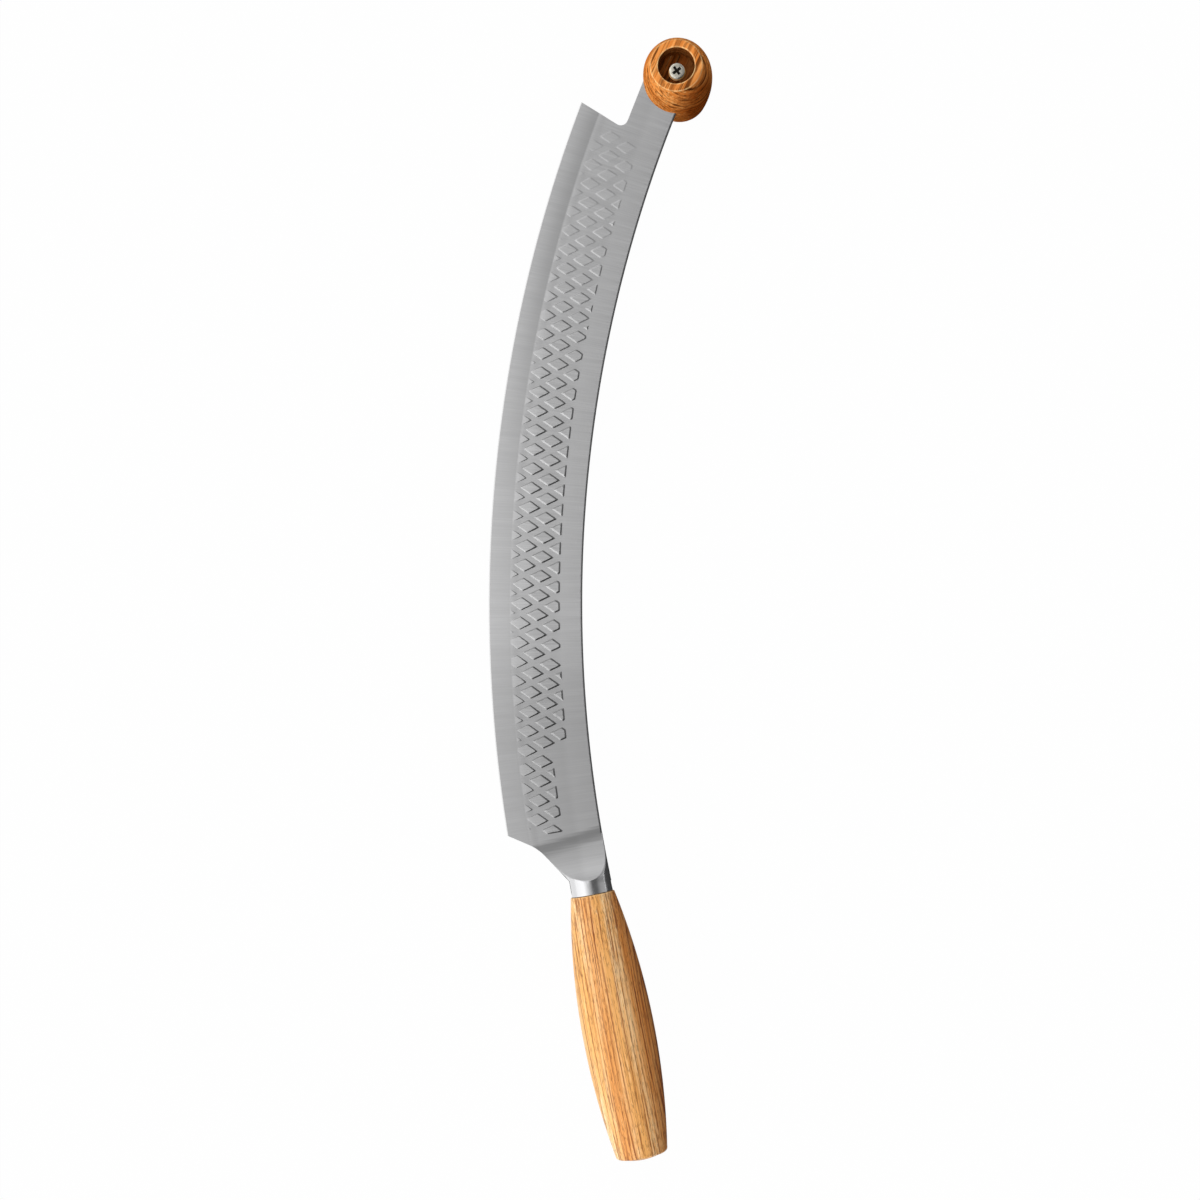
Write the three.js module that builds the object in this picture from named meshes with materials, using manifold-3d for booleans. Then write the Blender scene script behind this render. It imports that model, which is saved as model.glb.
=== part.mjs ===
// A pizza knife: a long bowed blade with diamond relief, a turned oak handle behind its heel
// and a turned front knob on an arm past its tip. Millimetres, +Z up, the knife lying on its side.
// X runs along the handle axis towards the knob, Y towards the cutting edge.

import * as THREE from 'three';
import { mergeGeometries, mergeVertices } from 'three/addons/utils/BufferGeometryUtils.js';
import Module from 'manifold-3d';

const wasm = await Module();
wasm.setup();

// Driving dimensions, blade plan: a band of constant width bent about one centre
const EDGE_RADIUS = 590;
const BLADE_WIDTH = 39;
const EDGE_LENGTH = 311;
const BOW_START = 15;
const HEEL_REACH = 15;
const HEEL_RAKE = THREE.MathUtils.degToRad(32);
const RICASSO_SLOPE = THREE.MathUtils.degToRad(33);
const RICASSO_BEND = 20;
const RICASSO_FOOT = 6.8;
const TIP_RAKE = THREE.MathUtils.degToRad(12);
const NOTCH_FILLET = 3;
const ARM_WIDTH = 17.8;
const ARM_TAPER_LEAD = 6;

// Driving dimensions, blade section
const SPINE_THICKNESS = 2;
const SPINE_CHAMFER = 0.25;
const EDGE_ZONE = 9;
const EDGE_THICKNESS = 0.6;
const MICRO_BEVEL = 1;
const CUTTING_FLAT = 0.12;

// Driving dimensions, diamond relief
const RELIEF_HEIGHT = 0.4;
const RELIEF_DRAFT = 0.5;
const RELIEF_RAMP = 2.4;
const SPINE_ZONE = 9.2;
const PAD_PITCH = 8.05;
const PAD_SPREAD = 13.95;
const GROOVE_WIDTH = 2.05;
const LATTICE_TURN = THREE.MathUtils.degToRad(1);
const LATTICE_ALONG = 2.8;
const LATTICE_ACROSS = -2.35;
const PAD_OVERHANG = 2.6;
const RELIEF_TIP_MARGIN = 8.5;
const RELIEF_HEEL_REACH = 2;
const BARE_LENGTH = 36;
const BARE_WIDTH = 15.6;

// Driving dimensions, tang and bolster
const TANG_LENGTH = 72;
const TANG_WIDTH = 8;
const TANG_TIP_WIDTH = 5;
const BOLSTER_LENGTH = 20;
const BOLSTER_DIAMETER = 17.2;
const BOLSTER_WAIST = 17;
const BOLSTER_RING = 4;
const BOLSTER_LIP = 0.3;
const COVE_RADIUS = 16.5;

// Driving dimensions, handle
const HANDLE_LENGTH = 110;
const HANDLE_FRONT = 18.2;
const HANDLE_BELLY = 29.8;
const HANDLE_BELLY_PLACE = 58;
const BUTT_DOME = 1.6;
const BUTT_ROUND = 2;
const BORE_DIAMETER = 10.6;
const TANG_END_ROOM = 6;

// Driving dimensions, front knob and its screw
const KNOB_REACH = 22.4;
const KNOB_BELLY = 28.7;
const KNOB_BELLY_RISE = 4.4;
const KNOB_NEAR_HEIGHT = 23.6;
const KNOB_FAR_HEIGHT = 25.6;
const KNOB_NEAR_FACE = 21.8;
const KNOB_FAR_FACE = 23.4;
const KNOB_NEAR_BEND = 0.67;
const KNOB_FAR_BEND = 0.38;
const KNOB_EDGE = 0.8;
const WELL_DIAMETER = 15;
const WELL_DEPTH = 11.7;
const WELL_RIM = 0.5;
const SCREW_MARGIN = 4.6;
const SCREW_DIAMETER = 3;
const SCREW_LENGTH = 27;
const SCREW_POINT = 4;
const HEAD_DIAMETER = 6.2;
const HEAD_HEIGHT = 2.2;
const HEAD_CROWN = 0.7;
const RECESS_WIDTH = 1.1;
const RECESS_SPAN = 3.8;
const RECESS_DEPTH = 1.3;
const RECESS_TURN = THREE.MathUtils.degToRad(25);
const WASHER_DIAMETER = 7;
const WASHER_THICKNESS = 0.8;

// Clearance between neighbouring pieces, and the overshoot of a cutting tool past what it cuts
const FIT_GAP = 0.15;
const SCREW_GAP = 0.2;
const OVERSHOOT = 5;

// Facet counts
const SWEEP_STEPS = 24;
const CURVE_STEPS = 6;
const TURNED_SIDES = 40;
const SCREW_SIDES = 20;

// Sizes that follow from the driving dimensions
const SPINE_RADIUS = EDGE_RADIUS - BLADE_WIDTH;
const ARM_RADIUS = SPINE_RADIUS + ARM_WIDTH;
const LAND_RADIUS = EDGE_RADIUS - EDGE_ZONE;
const SCREW_RADIUS = SPINE_RADIUS + SCREW_MARGIN;
const AXIS_RADIUS = SPINE_RADIUS + BOLSTER_DIAMETER / 2;
const HALF_SPINE = SPINE_THICKNESS / 2;
const PAD_TOP = HALF_SPINE + RELIEF_HEIGHT;
const HEEL_ANGLE = HEEL_REACH / EDGE_RADIUS;
const TIP_ANGLE = (HEEL_REACH + EDGE_LENGTH) / EDGE_RADIUS;
const KNOB_ANGLE = TIP_ANGLE + KNOB_REACH / SPINE_RADIUS;
const RELIEF_START = HEEL_ANGLE - RELIEF_HEEL_REACH / EDGE_RADIUS;
const RELIEF_END = TIP_ANGLE - RELIEF_TIP_MARGIN / EDGE_RADIUS;
const HEEL = onBlade(EDGE_RADIUS, HEEL_ANGLE);
const TIP = onBlade(EDGE_RADIUS, TIP_ANGLE);
const SCREW_PLACE = onBlade(SCREW_RADIUS, KNOB_ANGLE);
const CHORD_ANGLE = TIP.clone().sub(HEEL).angle();
const LATTICE_ANGLE = CHORD_ANGLE + LATTICE_TURN;
const BORE_DEPTH = TANG_LENGTH + TANG_END_ROOM;
const WASHER_SEAT = KNOB_NEAR_HEIGHT - WELL_DEPTH + FIT_GAP;
const HEAD_SEAT = WASHER_SEAT + WASHER_THICKNESS + FIT_GAP;
const SCREW_END = HEAD_SEAT - SCREW_LENGTH;

// Point of the blade plan, from its radius and its angle past the start of the bow
function onBlade(radius, angle) {
  const x = BOW_START + radius * Math.sin(angle);
  const y = radius * Math.cos(angle) - AXIS_RADIUS;
  return new THREE.Vector2(x, y);
}

// Angle of the same polar frame as three.js arcs measure it, counter-clockwise from +X
function arcAngle(angle) {
  return Math.PI / 2 - angle;
}

// Unit vector of a direction in the plan
function heading(angle) {
  return new THREE.Vector2(Math.cos(angle), Math.sin(angle));
}

// Where two lines of the plan cross, each given by a point and a direction
function crossing(pointA, alongA, pointB, alongB) {
  const between = pointB.clone().sub(pointA);
  const run = between.cross(alongB) / alongA.cross(alongB);
  return pointA.clone().addScaledVector(alongA, run);
}

// Continue a path to a corner and round that corner off on the way to the next point
function roundCorner(path, before, corner, after, radius) {
  const back = before.clone().sub(corner).normalize();
  const on = after.clone().sub(corner).normalize();
  const half = Math.acos(back.dot(on)) / 2;
  const reach = radius / Math.tan(half);
  const start = corner.clone().addScaledVector(back, reach);
  const end = corner.clone().addScaledVector(on, reach);
  const inward = back.clone().add(on).normalize();
  const centre = corner.clone().addScaledVector(inward, radius / Math.sin(half));
  const clockwise = back.cross(on) > 0;
  const from = start.clone().sub(centre).angle();
  const to = end.clone().sub(centre).angle();
  path.absarc(centre.x, centre.y, radius, from, to, clockwise);
}

// Closed solid of a geometry, with its shared vertices merged
function solidOf(geometry) {
  geometry.deleteAttribute('normal');
  geometry.deleteAttribute('uv');
  const welded = mergeVertices(geometry);
  const corners = welded.index.array;
  const triangles = [];
  for (let i = 0; i < corners.length; i += 3) {
    const [a, b, c] = corners.slice(i, i + 3);
    if (a !== b && b !== c && c !== a) triangles.push(a, b, c);
  }
  const vertProperties = Float32Array.from(welded.attributes.position.array);
  const triVerts = Uint32Array.from(triangles);
  return new wasm.Manifold(new wasm.Mesh({ numProp: 3, vertProperties, triVerts }));
}

// Named mesh of a solid in its own material
function piece(name, solid, look) {
  const { vertProperties, triVerts } = solid.getMesh();
  const geometry = new THREE.BufferGeometry();
  geometry.setAttribute('position', new THREE.BufferAttribute(vertProperties, 3));
  geometry.setIndex(new THREE.BufferAttribute(triVerts, 1));
  geometry.computeVertexNormals();
  const mesh = new THREE.Mesh(geometry, new THREE.MeshStandardMaterial(look));
  mesh.name = name;
  return mesh;
}

// Plate of a plan outline, centred on the plane of the blade
function plate(shape, thickness) {
  const geometry = new THREE.ExtrudeGeometry(shape, {
    depth: thickness,
    bevelEnabled: false,
    curveSegments: CURVE_STEPS,
  });
  geometry.translate(0, 0, -thickness / 2);
  return solidOf(geometry);
}

// Solid turned about the X axis from a path of (radius, x) points
function turnedAlongX(profile) {
  const geometry = new THREE.LatheGeometry(profile.getPoints(CURVE_STEPS), TURNED_SIDES);
  geometry.rotateZ(-Math.PI / 2);
  return solidOf(geometry);
}

// Solid turned about the Z axis from a path of (radius, z) points
function turnedAlongZ(profile, sides) {
  const geometry = new THREE.LatheGeometry(profile.getPoints(CURVE_STEPS), sides);
  geometry.rotateX(Math.PI / 2);
  return solidOf(geometry);
}

// Line of the spine, followed from the bolster towards the knob
class SpineLine extends THREE.Curve {
  constructor(fromAngle, toAngle) {
    super();
    this.fromAngle = fromAngle;
    this.toAngle = toAngle;
  }

  getPoint(t) {
    const angle = THREE.MathUtils.lerp(this.fromAngle, this.toAngle, t);
    const place = onBlade(SPINE_RADIUS, angle);
    return new THREE.Vector3(place.x, place.y, 0);
  }
}

// Section with x across the thickness and y out from the spine, swept along the bow of the blade
function swept(section, fromAngle, toAngle) {
  const geometry = new THREE.ExtrudeGeometry(section, {
    steps: SWEEP_STEPS,
    extrudePath: new SpineLine(fromAngle, toAngle),
  });
  return solidOf(geometry);
}

// Blade section: chamfered spine, flat side, ramp up to the land, ground bevel and fine edge bevel
function bladeSection() {
  const half = [
    [HALF_SPINE - SPINE_CHAMFER, 0],
    [HALF_SPINE, SPINE_CHAMFER],
    [HALF_SPINE, BLADE_WIDTH - EDGE_ZONE - RELIEF_RAMP],
    [PAD_TOP, BLADE_WIDTH - EDGE_ZONE],
    [EDGE_THICKNESS / 2, BLADE_WIDTH - MICRO_BEVEL],
    [CUTTING_FLAT / 2, BLADE_WIDTH],
  ];
  const near = half.map(([z, out]) => new THREE.Vector2(z, out));
  const far = half.map(([z, out]) => new THREE.Vector2(-z, out));
  return new THREE.Shape([...near, ...far.reverse()]);
}

// End of the arm: its outer edge tapers to a round nose about the screw and meets the spine
function addArmEnd(path, gap) {
  const nose = SCREW_MARGIN + gap;
  const along = arcAngle(KNOB_ANGLE) - Math.PI / 2;
  const shoulder = onBlade(ARM_RADIUS + gap, KNOB_ANGLE - ARM_TAPER_LEAD / SCREW_RADIUS);
  const inward = SCREW_PLACE.clone().sub(shoulder);
  const taper = inward.angle() + Math.asin(nose / inward.length());
  const leave = taper + Math.PI / 2;
  path.absarc(SCREW_PLACE.x, SCREW_PLACE.y, nose, along - Math.PI / 2, leave, false);
  path.lineTo(shoulder.x, shoulder.y);
}

// Plan that trims the swept blade: arm and nose, notch, raked tip, heel and ricasso
function bladePlan() {
  const centre = new THREE.Vector2(BOW_START, -AXIS_RADIUS);
  const below = SPINE_RADIUS - OVERSHOOT;
  const beyond = EDGE_RADIUS + OVERSHOOT;
  const bolsterSide = BOLSTER_WAIST / 2;

  const tipLine = heading(arcAngle(TIP_ANGLE) - TIP_RAKE);
  const pastTip = TIP.clone().addScaledVector(tipLine, OVERSHOOT);
  const armEdge = onBlade(ARM_RADIUS, TIP_ANGLE);
  const alongArm = heading(arcAngle(TIP_ANGLE) - Math.PI / 2);
  const notch = crossing(TIP, tipLine, armEdge, alongArm);

  const heelLine = heading(arcAngle(HEEL_ANGLE) - HEEL_RAKE);
  const pastHeel = HEEL.clone().addScaledVector(heelLine, OVERSHOOT);
  const foot = new THREE.Vector2(RICASSO_FOOT, bolsterSide);
  const bend = crossing(HEEL, heelLine, foot, heading(RICASSO_SLOPE));

  const shape = new THREE.Shape();
  shape.moveTo(BOLSTER_RING, -bolsterSide - OVERSHOOT);
  shape.absarc(centre.x, centre.y, below, arcAngle(0), arcAngle(KNOB_ANGLE), true);
  addArmEnd(shape, 0);
  roundCorner(shape, armEdge, notch, TIP, NOTCH_FILLET);
  shape.lineTo(pastTip.x, pastTip.y);
  shape.absarc(centre.x, centre.y, beyond, arcAngle(TIP_ANGLE), arcAngle(HEEL_ANGLE), false);
  shape.lineTo(pastHeel.x, pastHeel.y);
  roundCorner(shape, HEEL, bend, foot, RICASSO_BEND);
  shape.lineTo(foot.x, foot.y);
  shape.lineTo(BOLSTER_RING, bolsterSide);
  return shape;
}

// Stick tang behind the ricasso, tapering into the handle
function tangPlan(gap) {
  const root = TANG_WIDTH / 2 + gap;
  const end = TANG_TIP_WIDTH / 2 + gap;
  const tail = -TANG_LENGTH - gap;
  return new THREE.Shape([
    new THREE.Vector2(BOLSTER_RING + OVERSHOOT, root),
    new THREE.Vector2(0, root),
    new THREE.Vector2(tail, end),
    new THREE.Vector2(tail, -end),
    new THREE.Vector2(0, -root),
    new THREE.Vector2(BOLSTER_RING + OVERSHOOT, -root),
  ]);
}

// One rhombic pad, right through the blade and proud of both faces, with drafted sides
function padGeometry() {
  const along = PAD_PITCH / 2;
  const across = PAD_SPREAD / 2;
  const cell = (along * across) / Math.hypot(along, across);
  const share = (cell - GROOVE_WIDTH / 2) / cell;
  const rhombus = new THREE.Shape([
    new THREE.Vector2(along * share, 0),
    new THREE.Vector2(0, across * share),
    new THREE.Vector2(-along * share, 0),
    new THREE.Vector2(0, -across * share),
  ]);
  const geometry = new THREE.ExtrudeGeometry(rhombus, {
    depth: SPINE_THICKNESS,
    bevelThickness: RELIEF_HEIGHT,
    bevelSize: RELIEF_DRAFT,
    bevelOffset: -RELIEF_DRAFT,
    bevelSegments: 1,
  });
  return geometry.rotateZ(LATTICE_ANGLE).translate(0, 0, -HALF_SPINE);
}

// Staggered rows of pads nearly parallel to the chord of the edge; those at the margins of the
// band stand partly outside it
function padLattice() {
  const pad = padGeometry();
  const along = heading(LATTICE_ANGLE);
  const across = heading(LATTICE_ANGLE + Math.PI / 2);
  const start = HEEL.clone().add(TIP).multiplyScalar(0.5);
  start.addScaledVector(along, LATTICE_ALONG).addScaledVector(across, LATTICE_ACROSS);
  const centre = new THREE.Vector2(BOW_START, -AXIS_RADIUS);
  const rows = Math.ceil(EDGE_LENGTH / PAD_PITCH / 2);
  const columns = Math.ceil((2 * BLADE_WIDTH) / PAD_SPREAD);
  const innermost = SPINE_RADIUS + SPINE_ZONE - PAD_OVERHANG;
  const outermost = LAND_RADIUS + PAD_OVERHANG;
  const pads = [];
  for (let column = -columns; column <= columns; column += 1) {
    for (let row = -rows; row <= rows; row += 1) {
      const stagger = row + (column % 2) / 2;
      const place = start.clone().addScaledVector(along, stagger * PAD_PITCH);
      place.addScaledVector(across, (column * PAD_SPREAD) / 2);
      const away = place.clone().sub(centre);
      const angle = Math.atan2(away.x, away.y);
      if (away.length() < innermost || away.length() > outermost) continue;
      if (angle < RELIEF_START || angle > RELIEF_END) continue;
      pads.push(pad.clone().translate(place.x, place.y, 0));
    }
  }
  return solidOf(mergeGeometries(pads));
}

// Band that the relief fills, with a drafted side towards the spine
function reliefBand(spineZone, fromAngle, toAngle) {
  const lean = RELIEF_DRAFT / RELIEF_HEIGHT;
  const height = PAD_TOP + OVERSHOOT;
  const waist = spineZone - lean * HALF_SPINE;
  const crest = spineZone + lean * (height - HALF_SPINE);
  const outer = BLADE_WIDTH - EDGE_ZONE;
  const section = new THREE.Shape([
    new THREE.Vector2(0, waist),
    new THREE.Vector2(height, crest),
    new THREE.Vector2(height, outer),
    new THREE.Vector2(-height, outer),
    new THREE.Vector2(-height, crest),
  ]);
  return swept(section, fromAngle, toAngle);
}

// Diamond relief, stepping back from the spine to leave a bare place near the heel
function relief() {
  const bareEnd = HEEL_ANGLE + BARE_LENGTH / EDGE_RADIUS;
  const full = reliefBand(SPINE_ZONE, bareEnd, RELIEF_END);
  const narrow = reliefBand(BARE_WIDTH, RELIEF_START, bareEnd);
  return padLattice().intersect(full.add(narrow));
}

// Blade: swept band trimmed to its plan, with relief, screw hole and stick tang
function blade() {
  const fromAngle = (BOLSTER_RING - BOW_START - OVERSHOOT) / SPINE_RADIUS;
  const toAngle = KNOB_ANGLE + (SCREW_MARGIN + OVERSHOOT) / SPINE_RADIUS;
  const band = swept(bladeSection(), fromAngle, toAngle);
  const trimmed = band.intersect(plate(bladePlan(), 2 * (PAD_TOP + OVERSHOOT)));
  const tang = plate(tangPlan(0), SPINE_THICKNESS);
  const hole = screwHole(SCREW_DIAMETER / 2 + SCREW_GAP);
  return trimmed.add(tang).add(relief()).subtract(hole);
}

// Round hole for the screw through the arm
function screwHole(radius) {
  const geometry = new THREE.CylinderGeometry(radius, radius, SPINE_THICKNESS + OVERSHOOT, SCREW_SIDES);
  geometry.rotateX(Math.PI / 2);
  geometry.translate(SCREW_PLACE.x, SCREW_PLACE.y, 0);
  return solidOf(geometry);
}

// Body left between the two coves that run down to the flats of the ricasso
function coveBody() {
  const front = HALF_SPINE + FIT_GAP + BOLSTER_LIP;
  const centre = front + COVE_RADIUS;
  const back = BOLSTER_LENGTH - COVE_RADIUS;
  const top = Math.max(centre, BOLSTER_DIAMETER / 2) + OVERSHOOT;
  const shape = new THREE.Shape();
  shape.moveTo(-BOLSTER_LENGTH, -top);
  shape.lineTo(back, -top);
  shape.absarc(BOLSTER_LENGTH, -centre, COVE_RADIUS, Math.PI, Math.PI / 2, true);
  shape.absarc(BOLSTER_LENGTH, centre, COVE_RADIUS, -Math.PI / 2, Math.PI, true);
  shape.lineTo(back, top);
  shape.lineTo(-BOLSTER_LENGTH, top);
  const width = 2 * BLADE_WIDTH;
  const geometry = new THREE.ExtrudeGeometry(shape, {
    depth: width,
    bevelEnabled: false,
    curveSegments: CURVE_STEPS,
  });
  geometry.rotateX(Math.PI / 2);
  geometry.translate(0, width / 2, 0);
  return solidOf(geometry);
}

// Flare of the bolster that follows the ricasso on the side of the cutting edge
function bolsterFlare() {
  const waist = BOLSTER_WAIST / 2;
  const run = BOLSTER_LENGTH + OVERSHOOT;
  const mouth = waist + run * Math.tan(RICASSO_SLOPE);
  const profile = new THREE.Path();
  profile.moveTo(0, RICASSO_FOOT);
  profile.lineTo(waist, RICASSO_FOOT);
  profile.lineTo(mouth, RICASSO_FOOT + run);
  profile.lineTo(0, RICASSO_FOOT + run);
  const half = new THREE.BoxGeometry(2 * run, mouth, 2 * mouth);
  half.translate(RICASSO_FOOT + run / 2, mouth / 2, 0);
  return turnedAlongX(profile).intersect(solidOf(half));
}

// Bolster: a waisted round collar, coved down to the ricasso and slotted for blade and tang
function bolster() {
  const end = BOLSTER_DIAMETER / 2;
  const waist = BOLSTER_WAIST / 2;
  const profile = new THREE.Path();
  profile.moveTo(0, 0);
  profile.lineTo(end, 0);
  profile.quadraticCurveTo(waist, 0, waist, BOLSTER_RING);
  profile.lineTo(waist, BOLSTER_LENGTH + OVERSHOOT);
  profile.lineTo(0, BOLSTER_LENGTH + OVERSHOOT);
  const collar = turnedAlongX(profile).add(bolsterFlare()).intersect(coveBody());
  const slotThickness = SPINE_THICKNESS + 2 * FIT_GAP;
  const slotLength = 2 * BOLSTER_LENGTH;
  const ricassoSlot = new THREE.BoxGeometry(slotLength, 4 * BLADE_WIDTH, slotThickness);
  ricassoSlot.translate(BOLSTER_RING - FIT_GAP + slotLength / 2, 0, 0);
  const tangSlot = plate(tangPlan(FIT_GAP), slotThickness);
  return collar.subtract(solidOf(ricassoSlot)).subtract(tangSlot);
}

// Handle: an arched barrel with a domed butt, bored from the front for the tang
function handle() {
  const front = HANDLE_FRONT / 2;
  const belly = HANDLE_BELLY / 2;
  const swell = belly - front;
  const arch = (HANDLE_BELLY_PLACE ** 2 + swell ** 2) / (2 * swell);
  const archCentre = belly - arch;
  const arcEnd = HANDLE_LENGTH - BUTT_DOME - BUTT_ROUND;
  const atEnd = arcEnd - HANDLE_BELLY_PLACE;
  const endRadius = archCentre + Math.sqrt(arch ** 2 - atEnd ** 2);
  const startAngle = Math.asin(HANDLE_BELLY_PLACE / arch);
  const endAngle = -Math.asin(atEnd / arch);
  const rim = endRadius - BUTT_ROUND;
  const profile = new THREE.Path();
  profile.moveTo(0, -HANDLE_LENGTH);
  profile.quadraticCurveTo(rim / 2, -HANDLE_LENGTH, rim, BUTT_DOME - HANDLE_LENGTH);
  profile.quadraticCurveTo(endRadius, BUTT_DOME - HANDLE_LENGTH, endRadius, -arcEnd);
  profile.absarc(archCentre, -HANDLE_BELLY_PLACE, arch, endAngle, startAngle, false);
  profile.lineTo(BORE_DIAMETER / 2, 0);
  profile.lineTo(BORE_DIAMETER / 2, -BORE_DEPTH);
  profile.lineTo(0, -BORE_DEPTH);
  return turnedAlongX(profile);
}

// Cured adhesive that fills the bore round the tang
function tangAdhesive() {
  const radius = BORE_DIAMETER / 2 - FIT_GAP;
  const depth = BORE_DEPTH - FIT_GAP;
  const profile = new THREE.Path();
  profile.moveTo(0, -depth);
  profile.lineTo(radius, -depth);
  profile.lineTo(radius, 0);
  profile.lineTo(0, 0);
  const slot = plate(tangPlan(FIT_GAP), SPINE_THICKNESS + 2 * FIT_GAP);
  return turnedAlongX(profile).subtract(slot);
}

// Mortise that takes the end of the arm, open towards the blade
function mortisePlan() {
  const centre = new THREE.Vector2(BOW_START, -AXIS_RADIUS);
  const armEdge = onBlade(ARM_RADIUS + FIT_GAP, TIP_ANGLE);
  const inner = SPINE_RADIUS - FIT_GAP;
  const shape = new THREE.Shape();
  shape.absarc(centre.x, centre.y, inner, arcAngle(TIP_ANGLE), arcAngle(KNOB_ANGLE), true);
  addArmEnd(shape, FIT_GAP);
  shape.lineTo(armEdge.x, armEdge.y);
  return shape;
}

// Front knob: a turned barrel with a screw well in its near face, mortised over the arm
function frontKnob() {
  const belly = KNOB_BELLY / 2;
  const nearFace = KNOB_NEAR_FACE / 2;
  const farFace = KNOB_FAR_FACE / 2;
  const well = WELL_DIAMETER / 2;
  const pilot = SCREW_DIAMETER / 2 + SCREW_GAP;
  const floor = KNOB_NEAR_HEIGHT - WELL_DEPTH;
  const nearBend = THREE.MathUtils.lerp(KNOB_BELLY_RISE, KNOB_NEAR_HEIGHT, KNOB_NEAR_BEND);
  const farBend = THREE.MathUtils.lerp(KNOB_BELLY_RISE, -KNOB_FAR_HEIGHT, KNOB_FAR_BEND);
  const profile = new THREE.Path();
  profile.moveTo(0, -KNOB_FAR_HEIGHT);
  profile.lineTo(farFace - KNOB_EDGE, -KNOB_FAR_HEIGHT);
  profile.quadraticCurveTo(farFace, -KNOB_FAR_HEIGHT, farFace, KNOB_EDGE - KNOB_FAR_HEIGHT);
  profile.quadraticCurveTo(belly, farBend, belly, KNOB_BELLY_RISE);
  profile.quadraticCurveTo(belly, nearBend, nearFace, KNOB_NEAR_HEIGHT - KNOB_EDGE);
  profile.quadraticCurveTo(nearFace, KNOB_NEAR_HEIGHT, nearFace - KNOB_EDGE, KNOB_NEAR_HEIGHT);
  profile.lineTo(well + WELL_RIM, KNOB_NEAR_HEIGHT);
  profile.lineTo(well, KNOB_NEAR_HEIGHT - WELL_RIM);
  profile.lineTo(well, floor);
  profile.lineTo(pilot, floor);
  profile.lineTo(pilot, SCREW_END - SCREW_GAP);
  profile.lineTo(0, SCREW_END - SCREW_GAP);
  const mortise = new THREE.ExtrudeGeometry(mortisePlan(), {
    depth: SPINE_THICKNESS + 2 * FIT_GAP,
    bevelEnabled: false,
    curveSegments: CURVE_STEPS,
  });
  mortise.translate(-SCREW_PLACE.x, -SCREW_PLACE.y, -HALF_SPINE - FIT_GAP);
  return turnedAlongZ(profile, TURNED_SIDES).subtract(solidOf(mortise));
}

// Washer under the head of the screw
function knobWasher() {
  const hole = SCREW_DIAMETER / 2 + SCREW_GAP;
  const profile = new THREE.Path();
  profile.moveTo(hole, WASHER_SEAT);
  profile.lineTo(WASHER_DIAMETER / 2, WASHER_SEAT);
  profile.lineTo(WASHER_DIAMETER / 2, WASHER_SEAT + WASHER_THICKNESS);
  profile.lineTo(hole, WASHER_SEAT + WASHER_THICKNESS);
  profile.lineTo(hole, WASHER_SEAT);
  return turnedAlongZ(profile, SCREW_SIDES);
}

// Screw with a crowned head and a cross recess
function knobScrew() {
  const shank = SCREW_DIAMETER / 2;
  const head = HEAD_DIAMETER / 2;
  const crown = HEAD_SEAT + HEAD_HEIGHT;
  const profile = new THREE.Path();
  profile.moveTo(0, SCREW_END);
  profile.lineTo(shank, SCREW_END + SCREW_POINT);
  profile.lineTo(shank, HEAD_SEAT);
  profile.lineTo(head, HEAD_SEAT);
  profile.lineTo(head, crown - HEAD_CROWN);
  profile.quadraticCurveTo(head - HEAD_CROWN, crown, 0, crown);
  let screw = turnedAlongZ(profile, SCREW_SIDES);
  for (const turn of [RECESS_TURN, RECESS_TURN + Math.PI / 2]) {
    const slot = new THREE.BoxGeometry(RECESS_SPAN, RECESS_WIDTH, 2 * RECESS_DEPTH);
    slot.rotateZ(turn);
    slot.translate(0, 0, crown);
    screw = screw.subtract(solidOf(slot));
  }
  return screw;
}

// Finishes
const BRUSHED_STEEL = { color: 0xa6a8aa, roughness: 0.38, metalness: 1 };
const POLISHED_STEEL = { color: 0xc9cbcd, roughness: 0.12, metalness: 1 };
const HANDLE_OAK = { color: 0xc98f4c, roughness: 0.55, metalness: 0 };
const KNOB_OAK = { color: 0xa9662c, roughness: 0.5, metalness: 0 };
const CURED_ADHESIVE = { color: 0xd8c9a0, roughness: 0.4, metalness: 0 };
const NICKEL = { color: 0xb9b5a6, roughness: 0.3, metalness: 1 };
const BRASS = { color: 0xb5803a, roughness: 0.35, metalness: 1 };

const bladeGroup = new THREE.Group();
bladeGroup.add(piece('blade', blade(), BRUSHED_STEEL));
bladeGroup.add(piece('bolster', bolster(), POLISHED_STEEL));

const handleGroup = new THREE.Group();
handleGroup.position.x = -FIT_GAP;
handleGroup.add(piece('handle', handle(), HANDLE_OAK));
handleGroup.add(piece('tang_adhesive', tangAdhesive(), CURED_ADHESIVE));

const knobGroup = new THREE.Group();
knobGroup.position.set(SCREW_PLACE.x, SCREW_PLACE.y, 0);
knobGroup.add(piece('front_knob', frontKnob(), KNOB_OAK));
knobGroup.add(piece('knob_washer', knobWasher(), BRASS));
knobGroup.add(piece('knob_screw', knobScrew(), NICKEL));

// The origin is under the middle of the knife, on the plane that it lies on
const assembly = new THREE.Group();
assembly.add(bladeGroup, handleGroup, knobGroup);
const extent = new THREE.Box3().setFromObject(assembly);
const middle = extent.getCenter(new THREE.Vector3());
assembly.position.set(-middle.x, -middle.y, -extent.min.z);

const knife = new THREE.Group();
knife.add(assembly);

export default knife;
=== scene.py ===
"""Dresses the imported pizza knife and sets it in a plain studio.

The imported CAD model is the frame, so every piece stands where its node stands, in metres.
X runs along the handle towards the front knob, Y towards the cutting edge and Z up.
"""

import logging
import math
from dataclasses import dataclass
from enum import Enum
from typing import Callable, Iterable, Sequence

import bmesh
import bpy
from mathutils import Matrix, Vector


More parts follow.
